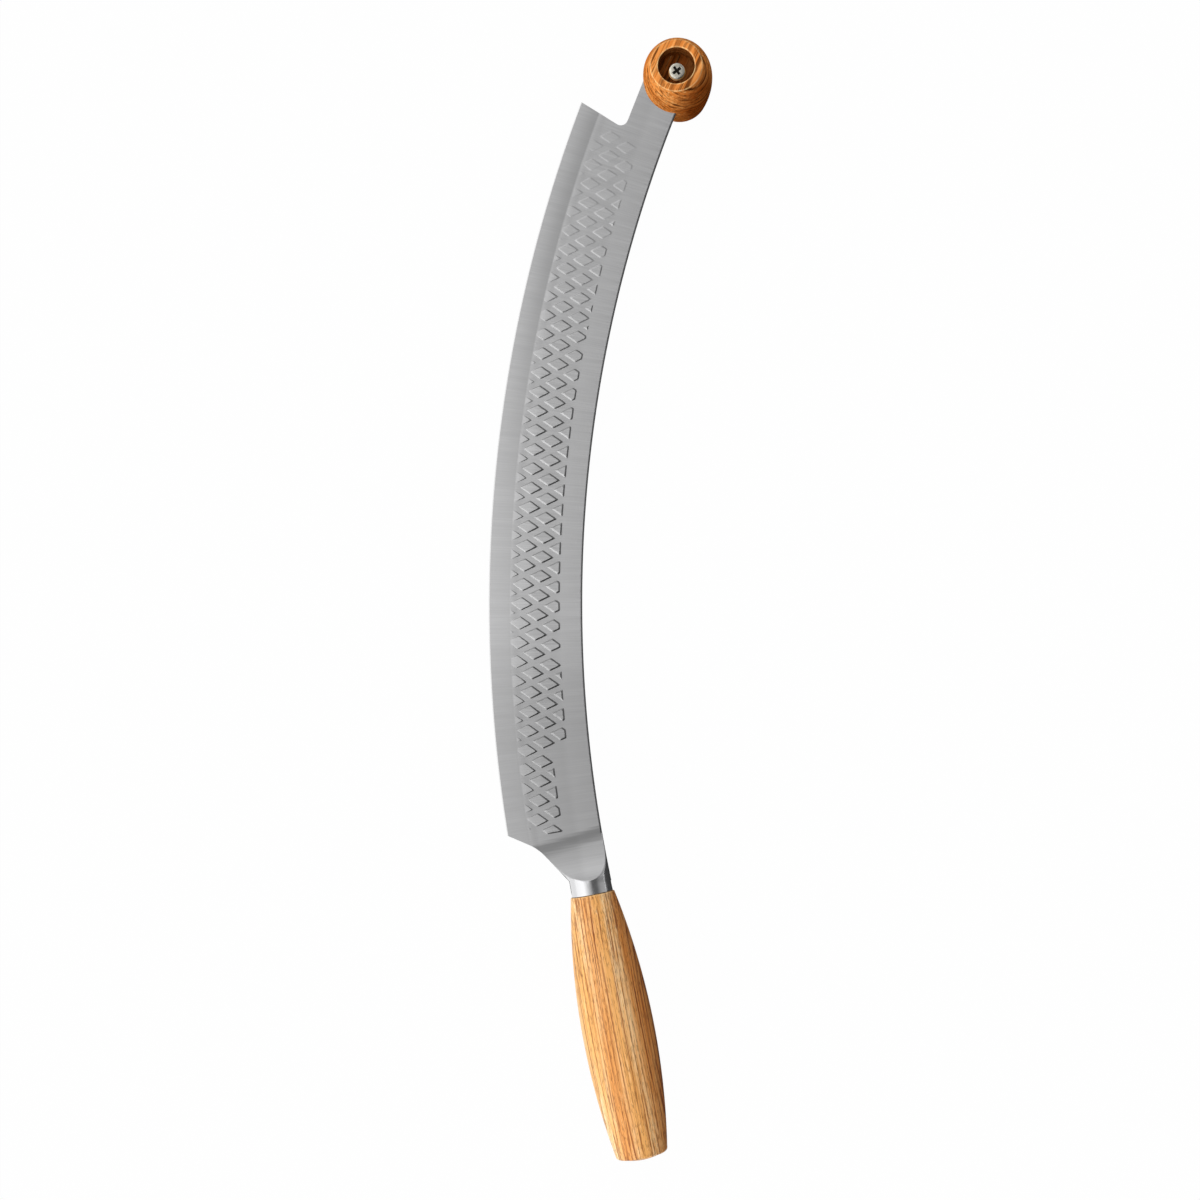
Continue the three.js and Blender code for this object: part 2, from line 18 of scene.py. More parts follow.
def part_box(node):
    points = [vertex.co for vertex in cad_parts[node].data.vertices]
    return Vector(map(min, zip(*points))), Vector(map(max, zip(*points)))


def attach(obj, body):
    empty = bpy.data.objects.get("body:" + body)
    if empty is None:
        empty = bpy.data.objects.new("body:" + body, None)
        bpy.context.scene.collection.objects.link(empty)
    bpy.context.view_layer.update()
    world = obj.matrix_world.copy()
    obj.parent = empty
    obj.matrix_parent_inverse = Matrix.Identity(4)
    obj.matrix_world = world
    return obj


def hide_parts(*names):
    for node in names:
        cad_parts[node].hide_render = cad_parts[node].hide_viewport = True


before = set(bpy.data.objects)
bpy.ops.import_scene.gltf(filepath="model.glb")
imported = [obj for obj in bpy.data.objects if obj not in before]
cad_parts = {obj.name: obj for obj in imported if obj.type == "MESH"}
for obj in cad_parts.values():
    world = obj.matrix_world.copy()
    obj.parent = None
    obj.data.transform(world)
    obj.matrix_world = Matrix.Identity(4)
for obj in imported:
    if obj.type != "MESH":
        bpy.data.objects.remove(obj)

MM = 0.001
PER_METRE = 1000.0
QUARTER_TURN = math.pi / 2.0
FULL_TURN = 2.0 * math.pi
WHITE = (1.0, 1.0, 1.0)
# Parts of a place that lie in the plan.
LEVEL = (1.0, 1.0, 0.0)

# The display curve of a picture: a straight toe, then a power.
TOE_END = 0.04045
TOE_SLOPE = 12.92
CURVE_OFFSET = 0.055
CURVE_POWER = 2.4

log = logging.getLogger("pizza_knife")

Pair = tuple[float, float]
Colour = tuple[float, float, float]
Repeats = tuple[float, float, float]
# How a result answers to an input: two values of the input, and the result at each.
Response = tuple[float, float, float, float]
Socket = bpy.types.NodeSocket
Feed = Socket | float | Sequence[float]


class Slot(Enum):
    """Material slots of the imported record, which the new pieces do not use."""

    BLADE_STEEL = "blade_steel"
    BOLSTER_STEEL = "bolster_steel"
    HANDLE_OAK = "handle_oak"
    KNOB_OAK = "knob_oak"
    WASHER_BRASS = "washer_brass"
    SCREW_NICKEL = "screw_nickel"


class TurnAxis(Enum):
    """Axis that a turned piece is turned about, and that its grain follows."""

    ALONG_HANDLE = 0
    UPRIGHT = 2


class BladeFace(Enum):
    """Side of the blade, as the sign of its height above the middle plane."""

    NEAR = 1.0
    FAR = -1.0


class Cut(Enum):
    """What a cutting body does to the body that it cuts."""

    KEEP_INSIDE = "INTERSECT"
    TAKE_AWAY = "DIFFERENCE"


def linear(red: int, green: int, blue: int) -> Colour:
    """Turns a colour as a picture shows it into the renderer's linear values.

    Args:
        red: Red from 0 to 255.
        green: Green from 0 to 255.
        blue: Blue from 0 to 255.

    Returns:
        The three linear values from 0 to 1.
    """
    def channel(level: int) -> float:
        """Undoes the display curve of one channel."""
        share = level / 255.0
        if share <= TOE_END:
            return share / TOE_SLOPE
        return ((share + CURVE_OFFSET) / (1.0 + CURVE_OFFSET)) ** CURVE_POWER

    return channel(red), channel(green), channel(blue)


def toned(colour: Colour, share: float) -> Colour:
    """Gives a share of a colour."""
    red, green, blue = colour
    return share * red, share * green, share * blue


def smooth_step(share: float) -> float:
    """Eases a share from 0 to 1 with level ends."""
    held = min(max(share, 0.0), 1.0)
    return held * held * (3.0 - 2.0 * held)


def soft_minimum(first: float, second: float, blend: float) -> float:
    """Takes the lesser of two values, rounded where they differ by less than the blend."""
    near = max(blend - abs(first - second), 0.0) / blend
    return min(first, second) - near * near * blend / 4.0


def arc(centre: Vector, radius: float, start: float, end: float, steps: int) -> list[Vector]:
    """Lays points along an arc of the plan.

    Args:
        centre: Centre of the arc.
        radius: Radius of the arc.
        start: Angle of the first point, counter-clockwise from +X.
        end: Angle of the last point.
        steps: Number of chords.

    Returns:
        The points, both ends included.
    """
    points = []
    for step in range(steps + 1):
        angle = start + (end - start) * step / steps
        points.append(centre + radius * heading(angle))
    return points


def heading(angle: float) -> Vector:
    """Gives the unit vector of a direction in the plan."""
    return Vector((math.cos(angle), math.sin(angle)))


def skyward(towards: float, elevation: float) -> Vector:
    """Gives the unit vector of a direction in the plan, raised by an angle."""
    side = heading(towards) * math.cos(elevation)
    return Vector((side.x, side.y, math.sin(elevation)))


def bend(start: Sequence[float], pull: Sequence[float], end: Sequence[float],
         steps: int) -> list[Vector]:
    """Lays points along a curve that leaves and arrives pointing at its pull point.

    Args:
        start: First point.
        pull: Point that the curve is drawn towards.
        end: Last point.
        steps: Number of chords.

    Returns:
        The points, both ends included.
    """
    first, middle, last = Vector(start), Vector(pull), Vector(end)
    points = []
    for step in range(steps + 1):
        share = step / steps
        points.append(first.lerp(middle, share).lerp(middle.lerp(last, share), share))
    return points


def rounded_corner(before: Vector, corner: Vector, after: Vector, radius: float,
                   steps: int) -> list[Vector]:
    """Rounds one corner of a plan outline.

    Args:
        before: A point that the outline comes from.
        corner: The sharp corner.
        after: A point that the outline goes on to.
        radius: Radius of the rounding.
        steps: Number of chords.

    Returns:
        The points of the rounding.
    """
    back = (before - corner).normalized()
    onward = (after - corner).normalized()
    half = math.acos(back.dot(onward)) / 2.0
    centre = corner + (back + onward).normalized() * radius / math.sin(half)
    start = corner + back * radius / math.tan(half) - centre
    end = corner + onward * radius / math.tan(half) - centre
    turn = math.atan2(start.x * end.y - start.y * end.x, start.dot(end))
    first = math.atan2(start.y, start.x)
    return arc(centre, radius, first, first + turn, steps)


def crossing(point_a: Vector, along_a: Vector, point_b: Vector, along_b: Vector) -> Vector:
    """Finds where two lines of the plan cross.

    Args:
        point_a: A point of the first line.
        along_a: Direction of the first line.
        point_b: A point of the second line.
        along_b: Direction of the second line.

    Returns:
        The crossing point.
    """
    between = point_b - point_a
    run = between.cross(along_b) / along_a.cross(along_b)
    return point_a + along_a * run


class MeshSketch:
    """Points and faces of a piece while it is drawn."""

    def __init__(self) -> None:
        """Starts with no points and no faces."""
        self.points: list[Vector] = []
        self.faces: list[list[int]] = []

    def ring(self, points: Iterable[Vector]) -> list[int]:
        """Adds points and gives their numbers.

        Args:
            points: Points of one ring, in order.

        Returns:
            The numbers of the points in the sketch.
        """
        first = len(self.points)
        self.points.extend(points)
        return list(range(first, len(self.points)))

    def band(self, low: Sequence[int], high: Sequence[int]) -> None:
        """Skins the space between two closed rings, either of which may be a single point.

        Args:
            low: Numbers of the first ring.
            high: Numbers of the second ring.
        """
        count = max(len(low), len(high))
        for here in range(count):
            on = (here + 1) % count
            corners = [low[here % len(low)], low[on % len(low)]]
            corners += [high[on % len(high)], high[here % len(high)]]
            self.faces.append(list(dict.fromkeys(corners)))

    def skin(self, rings: Sequence[Sequence[int]]) -> None:
        """Skins a row of closed rings one after another."""
        for low, high in zip(rings, rings[1:]):
            self.band(low, high)

    def lid(self, ring: Sequence[int]) -> None:
        """Closes a ring with one face."""
        self.faces.append(list(ring))

    def capped(self, rings: Sequence[Sequence[int]]) -> None:
        """Skins a row of closed rings and closes both of its ends."""
        self.skin(rings)
        self.lid(rings[0])
        self.lid(rings[-1])

    def mesh(self, name: str) -> bpy.types.Mesh:
        """Makes the mesh, with its faces turned outwards.

        Args:
            name: Name of the mesh.

        Returns:
            The new mesh.
        """
        made = bpy.data.meshes.new(name)
        made.from_pydata(self.points, [], self.faces)
        shell = bmesh.new()
        shell.from_mesh(made)
        bmesh.ops.recalc_face_normals(shell, faces=shell.faces)
        shell.to_mesh(made)
        shell.free()
        return made


def turned(sketch: MeshSketch, profile: Sequence[Vector], axis: TurnAxis, foot: Vector,
           sides: int) -> None:
    """Draws a turned body from a profile of (radius, height) points.

    Args:
        sketch: Sketch that takes the body.
        profile: Profile points, on the axis where the radius is 0.
        axis: Axis that the body is turned about.
        foot: Place of height 0 on the axis.
        sides: Number of sides of the turning.
    """
    rings = []
    for radius, height in profile:
        points = []
        for side in range(sides if radius > 0.0 else 1):
            across = radius * heading(FULL_TURN * side / sides)
            if axis is TurnAxis.ALONG_HANDLE:
                points.append(foot + Vector((height, across.x, across.y)))
            else:
                points.append(foot + Vector((across.x, across.y, height)))
        rings.append(sketch.ring(points))
    sketch.skin(rings)


def prism(outline: Sequence[Vector], low: float, high: float, name: str) -> bpy.types.Mesh:
    """Raises a plan outline into an upright body.

    Args:
        outline: Corners of the plan, in order.
        low: Height of the lower face.
        high: Height of the upper face.
        name: Name of the mesh.

    Returns:
        The new mesh.
    """
    sketch = MeshSketch()
    rings = []
    for level in (low, high):
        lift = Vector((0.0, 0.0, level))
        rings.append(sketch.ring(point.to_3d() + lift for point in outline))
    sketch.capped(rings)
    return sketch.mesh(name)


def new_object(name: str, data: bpy.types.ID) -> bpy.types.Object:
    """Makes an object and puts it in the scene."""
    made = bpy.data.objects.new(name, data)
    bpy.context.scene.collection.objects.link(made)
    return made


def cut_mesh(body: bpy.types.Mesh, tool: bpy.types.Mesh, how: Cut) -> bpy.types.Mesh:
    """Cuts one closed mesh with another.

    Args:
        body: Mesh to be cut.
        tool: Mesh that cuts it.
        how: What is kept.

    Returns:
        The cut mesh; the two that went in are deleted.
    """
    holders = [new_object(mesh.name, mesh) for mesh in (body, tool)]
    modifier = holders[0].modifiers.new("cut", "BOOLEAN")
    modifier.operation = how.value
    modifier.solver = "EXACT"
    modifier.object = holders[1]
    graph = bpy.context.evaluated_depsgraph_get()
    made = bpy.data.meshes.new_from_object(holders[0].evaluated_get(graph))
    for holder, mesh in zip(holders, (body, tool)):
        bpy.data.objects.remove(holder)
        bpy.data.meshes.remove(mesh)
    return made


def joined(meshes: Sequence[bpy.types.Mesh], name: str) -> bpy.types.Mesh:
    """Joins several meshes into one.

    Args:
        meshes: Meshes to join; they are deleted.
        name: Name of the joined mesh.

    Returns:
        The joined mesh.
    """
    shell = bmesh.new()
    for mesh in meshes:
        shell.from_mesh(mesh)
        bpy.data.meshes.remove(mesh)
    made = bpy.data.meshes.new(name)
    shell.to_mesh(made)
    shell.free()
    return made


def stand(mesh: bpy.types.Mesh, name: str, node: str, finish: bpy.types.Material,
          crease: float, mirrored: bool = True) -> bpy.types.Object:
    """Puts a finished mesh in the scene in the place of its CAD node.

    Args:
        mesh: Mesh of the piece.
        name: Name of the piece.
        node: CAD node that the piece stands for.
        finish: Material of the piece.
        crease: Angle above which an edge stays sharp.
        mirrored: False where the satin steel beside the piece does not mirror it.

    Returns:
        The new piece.
    """
    mesh.name = name
    mesh.materials.clear()
    mesh.materials.append(finish)
    mesh.shade_smooth()
    mesh.set_sharp_from_angle(angle=crease)
    piece = new_object(name, mesh)
    piece.visible_glossy = mirrored
    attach(piece, "root")
    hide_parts(node)
    log.info("%s stands for %s: %d faces", name, node, len(mesh.polygons))
    return piece


@dataclass(frozen=True)
class Seats:
    """Places in the frame that the pieces are built from.

    Attributes:
        joint: Middle of the face where the bolster meets the wood, in the plane of the blade.
        knob: Point of the knob's axis in the plane of the blade.
        floor: Height of the plane that the knife lies on.
    """

    joint: Vector
    knob: Vector
    floor: float

    @classmethod
    def from_frame(cls) -> "Seats":
        """Reads the places from the boxes of the CAD nodes."""
        bolster_low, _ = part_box("bolster")
        handle_low, handle_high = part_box("handle")
        blade_low, blade_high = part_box("blade")
        knob_low, knob_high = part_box("front_knob")
        level = (blade_low.z + blade_high.z) / 2.0
        middle = (knob_low + knob_high) / 2.0
        return cls(
            joint=Vector((bolster_low.x, (handle_low.y + handle_high.y) / 2.0, level)),
            knob=Vector((middle.x, middle.y, level)),
            floor=knob_low.z,
        )


class NodeBench:
    """Node tree of one material or world, with short calls that add and join nodes."""

    def __init__(self, tree: bpy.types.NodeTree) -> None:
        """Takes a tree and empties it."""
        self.tree = tree
        tree.nodes.clear()

    def add(self, kind: str, feeds: dict[str | int, Feed] | None = None,
            **settings: object) -> bpy.types.Node:
        """Adds one node.

        Args:
            kind: Blender's type name of the node.
            feeds: Input sockets by name or number, each with a value or the output that feeds it.
            settings: Other settings of the node.

        Returns:
            The new node.
        """
        node = self.tree.nodes.new(kind)
        for name, value in settings.items():
            setattr(node, name, value)
        for key, value in (feeds or {}).items():
            self.feed(node.inputs[key], value)
        return node

    def feed(self, socket: Socket, value: Feed) -> None:
        """Joins an output to an input, or sets the input's own value."""
        if isinstance(value, bpy.types.NodeSocket):
            self.tree.links.new(value, socket)
        elif socket.type == "RGBA" and len(value) == 3:
            socket.default_value = (*value, 1.0)
        else:
            socket.default_value = value

    def number(self, operation: str, *values: Feed) -> Socket:
        """Adds a Math node and gives its result."""
        node = self.add("ShaderNodeMath", dict(enumerate(values)), operation=operation)
        return node.outputs[0]

    def vector(self, operation: str, *values: Feed) -> bpy.types.Node:
        """Adds a Vector Math node."""
        return self.add("ShaderNodeVectorMath", dict(enumerate(values)), operation=operation)

    def parts(self, place: Socket) -> list[Socket]:
        """Splits a vector into its three numbers."""
        return list(self.add("ShaderNodeSeparateXYZ", {0: place}).outputs)

    def dot(self, first: Socket, second: Sequence[float]) -> Socket:
        """Gives the dot product of a vector with a fixed one."""
        return self.vector("DOT_PRODUCT", first, second).outputs["Value"]

    def length(self, place: Socket, kept: Sequence[float]) -> Socket:
        """Gives the length of a vector of which only some parts are kept."""
        left = self.vector("MULTIPLY", place, kept).outputs[0]
        return self.vector("LENGTH", left).outputs["Value"]

    def product(self, value: Socket, *others: Feed) -> Socket:
        """Multiplies numbers with each other."""
        for other in others:
            value = self.number("MULTIPLY", value, other)
        return value

    def noise(self, place: Socket, repeats: Repeats, detail: float) -> Socket:
        """Adds noise that is stretched differently along each axis.

        Args:
            place: Place on the surface, in millimetres.
            repeats: Repeats for each millimetre along each axis.
            detail: Number of finer layers.

        Returns:
            The noise, from 0 to 1.
        """
        spread = self.vector("MULTIPLY", place, repeats).outputs[0]
        node = self.add("ShaderNodeTexNoise", {"Vector": spread, "Scale": 1.0, "Detail": detail})
        return node.outputs[0]

    def span(self, value: Socket, low: float, high: float, start: float = 0.0,
             end: float = 1.0) -> Socket:
        """Maps a value from low..high to start..end with level ends, and holds it beyond them."""
        feeds = {"Value": value, "From Min": low, "From Max": high, "To Min": start, "To Max": end}
        return self.add("ShaderNodeMapRange", feeds, interpolation_type="SMOOTHSTEP").outputs[0]

    def vary(self, value: Socket, level: float, response: Response) -> Socket:
        """Adds the response to a value to a level."""
        low, high, less, more = response
        return self.span(value, low, high, level + less, level + more)

    def blend(self, share: Feed, first: Feed, second: Feed, how: str = "MIX") -> Socket:
        """Mixes a share of the second colour into the first."""
        feeds = {0: share, 6: first, 7: second}
        return self.add("ShaderNodeMix", feeds, data_type="RGBA", blend_type=how).outputs[2]

    def tint(self, share: Feed, colour: Feed, tone: float) -> Socket:
        """Darkens a share of a colour to its tone."""
        return self.blend(share, colour, toned(WHITE, tone), "MULTIPLY")

    def ramp(self, value: Socket, stops: Sequence[Pair]) -> Socket:
        """Maps a value from 0 to 1 through stops.

        Args:
            value: Value to map.
            stops: Place and level of each stop, in order.

        Returns:
            The level at the value.
        """
        node = self.add("ShaderNodeValToRGB", {0: value})
        for place, _ in stops[1:-1]:
            node.color_ramp.elements.new(place)
        for element, (place, level) in zip(node.color_ramp.elements, stops):
            element.position = place
            element.color = (level, level, level, 1.0)
        return self.add("ShaderNodeRGBToBW", {0: node.outputs[0]}).outputs[0]

    def bump(self, height: Socket, strength: float, depth: float) -> Socket:
        """Gives the normal of a bump, from a height of 0 to 1 and a depth in metres."""
        feeds = {"Height": height, "Strength": strength, "Distance": depth}
        return self.add("ShaderNodeBump", feeds).outputs[0]

    def place_in_mm(self, origin: Sequence[float]) -> Socket:
        """Gives the place on the surface in millimetres from an origin in the frame."""
        seen = self.add("ShaderNodeTexCoord").outputs["Object"]
        moved = self.vector("SUBTRACT", seen, origin).outputs[0]
        node = self.vector("SCALE", moved)
        node.inputs["Scale"].default_value = PER_METRE
        return node.outputs[0]

    def surface(self, feeds: dict[str | int, Feed]) -> None:
        """Ends the tree with a Principled shader."""
        shader = self.add("ShaderNodeBsdfPrincipled", feeds)
        self.add("ShaderNodeOutputMaterial", {"Surface": shader.outputs[0]})


def new_material(name: str) -> tuple[bpy.types.Material, NodeBench]:
    """Makes an empty material.

    Args:
        name: Name of the material.

    Returns:
        The material and the bench for its nodes.
    """
    material = bpy.data.materials.new(name)
    material.use_nodes = True
    return material, NodeBench(material.node_tree)


@dataclass(frozen=True)
class BrushedSteel:
    """Satin steel, ground in fine lines that run out from the centre of the blade's bow.

    Lengths are in millimetres where nothing else is said. A tone of one number is the share of
    the steel's colour that is left, repeats are counted for each millimetre along, across and
    through the blade, and a bump has a strength and a height in metres.

    Attributes:
        bow_centre: Centre of the bow, in the middle plane of the blade, in metres.
        bow_radius: Radius at which the lines are counted along the blade, in metres.
        face: Height of the flat side above the middle plane.
        crest: Height of the tops of the relief.
        lattice: Distance of the relief's inner limit from the centre.
        land: Distance of the edge bevel from the centre.
        keen: Distance of the fine edge bevel from the centre.
        dulled: Tone of the tops of the relief and of the broad streaks.
        brightened: Gain of the colour in the brightest lines.
        cove_shade_start: Start of the painted shade where the coves start to rise from the blade,
            along the blade.
        cove_shade_pivot: Distance from the cutting edge at which its start and end are measured.
        cove_shade_slant: Slant of that painted shade against the section of the blade.
        heel_reach: Distance along the blade over which the blade darkens towards the heel.
        groove_shade_tone: Tone of the painted shade between the pads, laid over the whole relief
            band.
        groove_lead: Distance before the relief at which that tone starts.
        tip_shade_tone: Tone of the painted shade where the bevel meets the relief at the tip.
        tip_reach: Distance along the blade at which that painted shade is full.
        tip_share: Share of that painted shade at the fine edge.
        flank_shade_tone: Tone of the painted shade on the steep flanks of the relief.
        flank_slope: Upright part of the normal where the painted shade starts, and where it is
            full.
        flank_shade_heading: Direction of the flanks that take the most painted shade, in the plan.
        flank_shade_share: Response of the painted shade to that direction.
        keen_highlight_tone: Level of the colour of the painted highlight on the fine edge bevel.
        keen_polish: Share of the roughness that is left there.
    """

    bow_centre: Vector
    bow_radius: float
    face: float
    crest: float
    lattice: float
    land: float
    keen: float
    tone: Colour = (0.80, 0.80, 0.805)
    dulled: float = 0.88
    brightened: float = 1.1
    roughness: float = 0.4
    line_repeats: Repeats = (2.4, 0.05, 1.0)
    line_shine: Response = (0.3, 0.7, 0.0, 0.8)
    line_gloss: Response = (0.25, 0.75, -0.04, 0.05)
    line_bump: Pair = (0.12, 0.02 * MM)
    streak_repeats: Repeats = (0.35, 0.02, 0.1)
    streak_shade: Response = (0.35, 0.65, 0.0, 0.25)
    cove_shade_start: float = 3.6
    cove_shade_end: float = 12.2
    cove_shade_pivot: float = 28.0
    cove_shade_slant: float = 0.13
    cove_shade_fade: float = 5.0
    cove_shade_repeats: Repeats = (1.2, 0.05, 1.0)
    cove_shade_ragged: float = 4.0
    cove_shade_tone: float = 0.62
    heel_tone: float = 0.82
    heel_reach: float = 110.0
    groove_shade_tone: float = 0.93
    groove_lead: float = 1.0
    groove_fade: float = 3.0
    bevel_shade_tone: float = 0.88
    bevel_blend: float = 0.5
    tip_shade_tone: float = 0.76
    tip_reach: float = 290.0
    tip_share: float = 0.2
    flank_shade_tone: float = 0.46
    flank_slope: Pair = (0.997, 0.93)
    flank_shade_heading: float = math.radians(-71)
    flank_shade_share: Response = (-0.5, 0.0, 0.3, 1.0)
    keen_highlight_tone: float = 0.84
    keen_polish: float = 0.6
    keen_blend: float = 0.1

    def lines(self, bench: NodeBench) -> tuple[Socket, Socket, Socket]:
        """Draws the grinding lines.

        Args:
            bench: Bench of the material.

        Returns:
            Place along and across the blade in millimetres, fine lines, and broad streaks.
        """
        place = bench.place_in_mm(self.bow_centre)
        x, y, height = bench.parts(place)
        angle = bench.number("ARCTAN2", x, y)
        along = bench.number("MULTIPLY", angle, self.bow_radius * PER_METRE)
        out = bench.length(place, LEVEL)
        laid = bench.add("ShaderNodeCombineXYZ", {0: along, 1: out, 2: height}).outputs[0]
        fine = bench.noise(laid, self.line_repeats, detail=3.0)
        broad = bench.noise(laid, self.streak_repeats, detail=2.0)
        return laid, fine, broad

    def cove_shade(self, bench: NodeBench, laid: Socket) -> Socket:
        """Draws the slanting, ragged stripe of painted shade where the coves run out on the blade.

        Args:
            bench: Bench of the material.
            laid: Place along and across the blade.

        Returns:
            Share of the painted shade.
        """
        along, out, _ = bench.parts(laid)
        aside = bench.number("SUBTRACT", out, self.bow_radius * PER_METRE - self.cove_shade_pivot)
        slanted = bench.number("MULTIPLY_ADD", aside, self.cove_shade_slant, along)
        fray = bench.noise(laid, self.cove_shade_repeats, detail=3.0)
        frayed = bench.number("MULTIPLY_ADD", fray, self.cove_shade_ragged, slanted)
        start = self.cove_shade_start + self.cove_shade_ragged / 2.0
        end = self.cove_shade_end + self.cove_shade_ragged / 2.0
        return bench.product(
            bench.span(frayed, start, start + self.cove_shade_fade),
            bench.span(frayed, end, end - self.cove_shade_fade / 2.0),
        )

    def satin(self, bench: NodeBench, laid: Socket, raised: Feed, fine: Socket,
              broad: Socket) -> tuple[Socket, Socket]:
        """Colours the ground surface, with painted shade on the bevel, the relief band, the tip and
        where the coves run out, darker towards the heel.

        Args:
            bench: Bench of the material.
            laid: Place along and across the blade.
            raised: Share of the relief's height.
            fine: Fine grinding lines.
            broad: Broad streaks.

        Returns:
            Colour and roughness.
        """
        along, out, _ = bench.parts(laid)
        dull, bright = toned(self.tone, self.dulled), toned(self.tone, self.brightened)
        metal = bench.blend(raised, self.tone, dull)
        metal = bench.blend(bench.span(fine, *self.line_shine), metal, bright)
        metal = bench.blend(bench.span(broad, *self.streak_shade), metal, dull)
        # Darker towards the heel.
        heelward = bench.span(along, self.heel_reach, self.heel_reach / 2.0)
        metal = bench.tint(heelward, metal, self.heel_tone)
        # Painted shade over the relief band, for the shade between its pads.
        groove_shade = bench.product(
            bench.span(out, self.lattice - self.groove_lead, self.lattice + self.groove_fade),
            bench.span(out, self.land, self.land - self.groove_fade),
        )
        metal = bench.tint(groove_shade, metal, self.groove_shade_tone)
        bevel = bench.span(out, self.land - self.bevel_blend, self.land + self.bevel_blend)
        # Painted shade that darkens the edge bevel against the flat.
        metal = bench.tint(bevel, metal, self.bevel_shade_tone)
        # Painted shade on the bevel near the tip, darkest at the relief and lighter towards the
        # fine edge.
        tip_end = bench.product(
            bevel,
            bench.span(out, self.keen, self.land, self.tip_share, 1.0),
            bench.span(along, self.heel_reach, self.tip_reach),
        )
        metal = bench.tint(tip_end, metal, self.tip_shade_tone)
        # Painted shade where the coves start to tilt up from the blade.
        metal = bench.tint(self.cove_shade(bench, laid), metal, self.cove_shade_tone)
        return metal, bench.vary(fine, self.roughness, self.line_gloss)

    def flank_shade(self, bench: NodeBench) -> Socket:
        """Draws the painted shade on the steep flanks of the relief that face one way.

        Args:
            bench: Bench of the material.

        Returns:
            Share of the painted shade.
        """
        normal = bench.add("ShaderNodeNewGeometry").outputs["Normal"]
        upright = bench.number("ABSOLUTE", bench.parts(normal)[2])
        flank_facing = bench.dot(normal, heading(self.flank_shade_heading).to_3d())
        return bench.product(
            bench.span(upright, *self.flank_slope),
            bench.span(flank_facing, *self.flank_shade_share),
        )

    def material(self) -> bpy.types.Material:
        """Makes the material of the blade."""
        material, bench = new_material("satin_blade_steel")
        laid, fine, broad = self.lines(bench)
        _, out, height = bench.parts(laid)
        raised = bench.span(bench.number("ABSOLUTE", height), self.face, self.crest)
        metal, rough = self.satin(bench, laid, raised, fine, broad)
        # Painted shade on the steep flanks of the relief that face one way.
        metal = bench.tint(self.flank_shade(bench), metal, self.flank_shade_tone)
        # Painted highlight along the fine edge bevel, which is also more polished.
        keen = bench.span(out, self.keen - self.keen_blend, self.keen + self.keen_blend)
        metal = bench.blend(keen, metal, toned(WHITE, self.keen_highlight_tone))
        polish = bench.span(keen, 0.0, 1.0, 1.0, self.keen_polish)
        bench.surface({
            "Base Color": metal,
            "Metallic": 1.0,
            "Roughness": bench.product(rough, polish),
            "Normal": bench.bump(fine, *self.line_bump),
        })
        return material


@dataclass(frozen=True)
class CollarSteel:
    """Steel of the bolster: mirror polish on its round collar, ground lines on its coves.

    Attributes:
        ground: The steel of the blade, whose lines run on over the coves.
        polish_layer: Name of the mesh layer that says where the collar is polished.
        polish: Roughness of the polished collar.
        line_share: Share of the ground lines' bump that the polish leaves.
    """

    ground: BrushedSteel
    polish_layer: str = "polish"
    tone: Colour = (0.74, 0.74, 0.75)
    polish: float = 0.17
    scuff_repeats: Repeats = (0.9, 0.9, 0.9)
    scuff_shade: Response = (0.4, 0.7, 0.0, 0.25)
    scuff_gloss: Response = (0.3, 0.75, 0.0, 0.08)
    line_share: float = 0.1

    def material(self) -> bpy.types.Material:
        """Makes the material of the bolster."""
        material, bench = new_material("bolster_steel")
        laid, fine, broad = self.ground.lines(bench)
        layer = bench.add("ShaderNodeAttribute", attribute_name=self.polish_layer)
        polished = layer.outputs["Fac"]
        scuff = bench.noise(laid, self.scuff_repeats, detail=4.0)
        satin, matte = self.ground.satin(bench, laid, 0.0, fine, broad)
        shiny = bench.blend(bench.span(scuff, *self.scuff_shade), self.tone, self.ground.tone)
        glint = bench.vary(scuff, self.polish, self.scuff_gloss)
        lined = bench.product(fine, bench.span(polished, 0.0, 1.0, 1.0, self.line_share))
        bench.surface({
            "Base Color": bench.blend(polished, satin, shiny),
            "Metallic": 1.0,
            "Roughness": bench.add("ShaderNodeMix", {0: polished, 2: matte, 3: glint}).outputs[0],
            "Normal": bench.bump(lined, *self.ground.line_bump),
        })
        return material


@dataclass(frozen=True)
class HighlitRim:
    """Rim of a turned piece that takes a painted highlight.

    Attributes:
        radius: Radius of the rim about the turning axis.
        place: Place of the rim along the axis, from the turning centre.
    """

    radius: float
    place: float


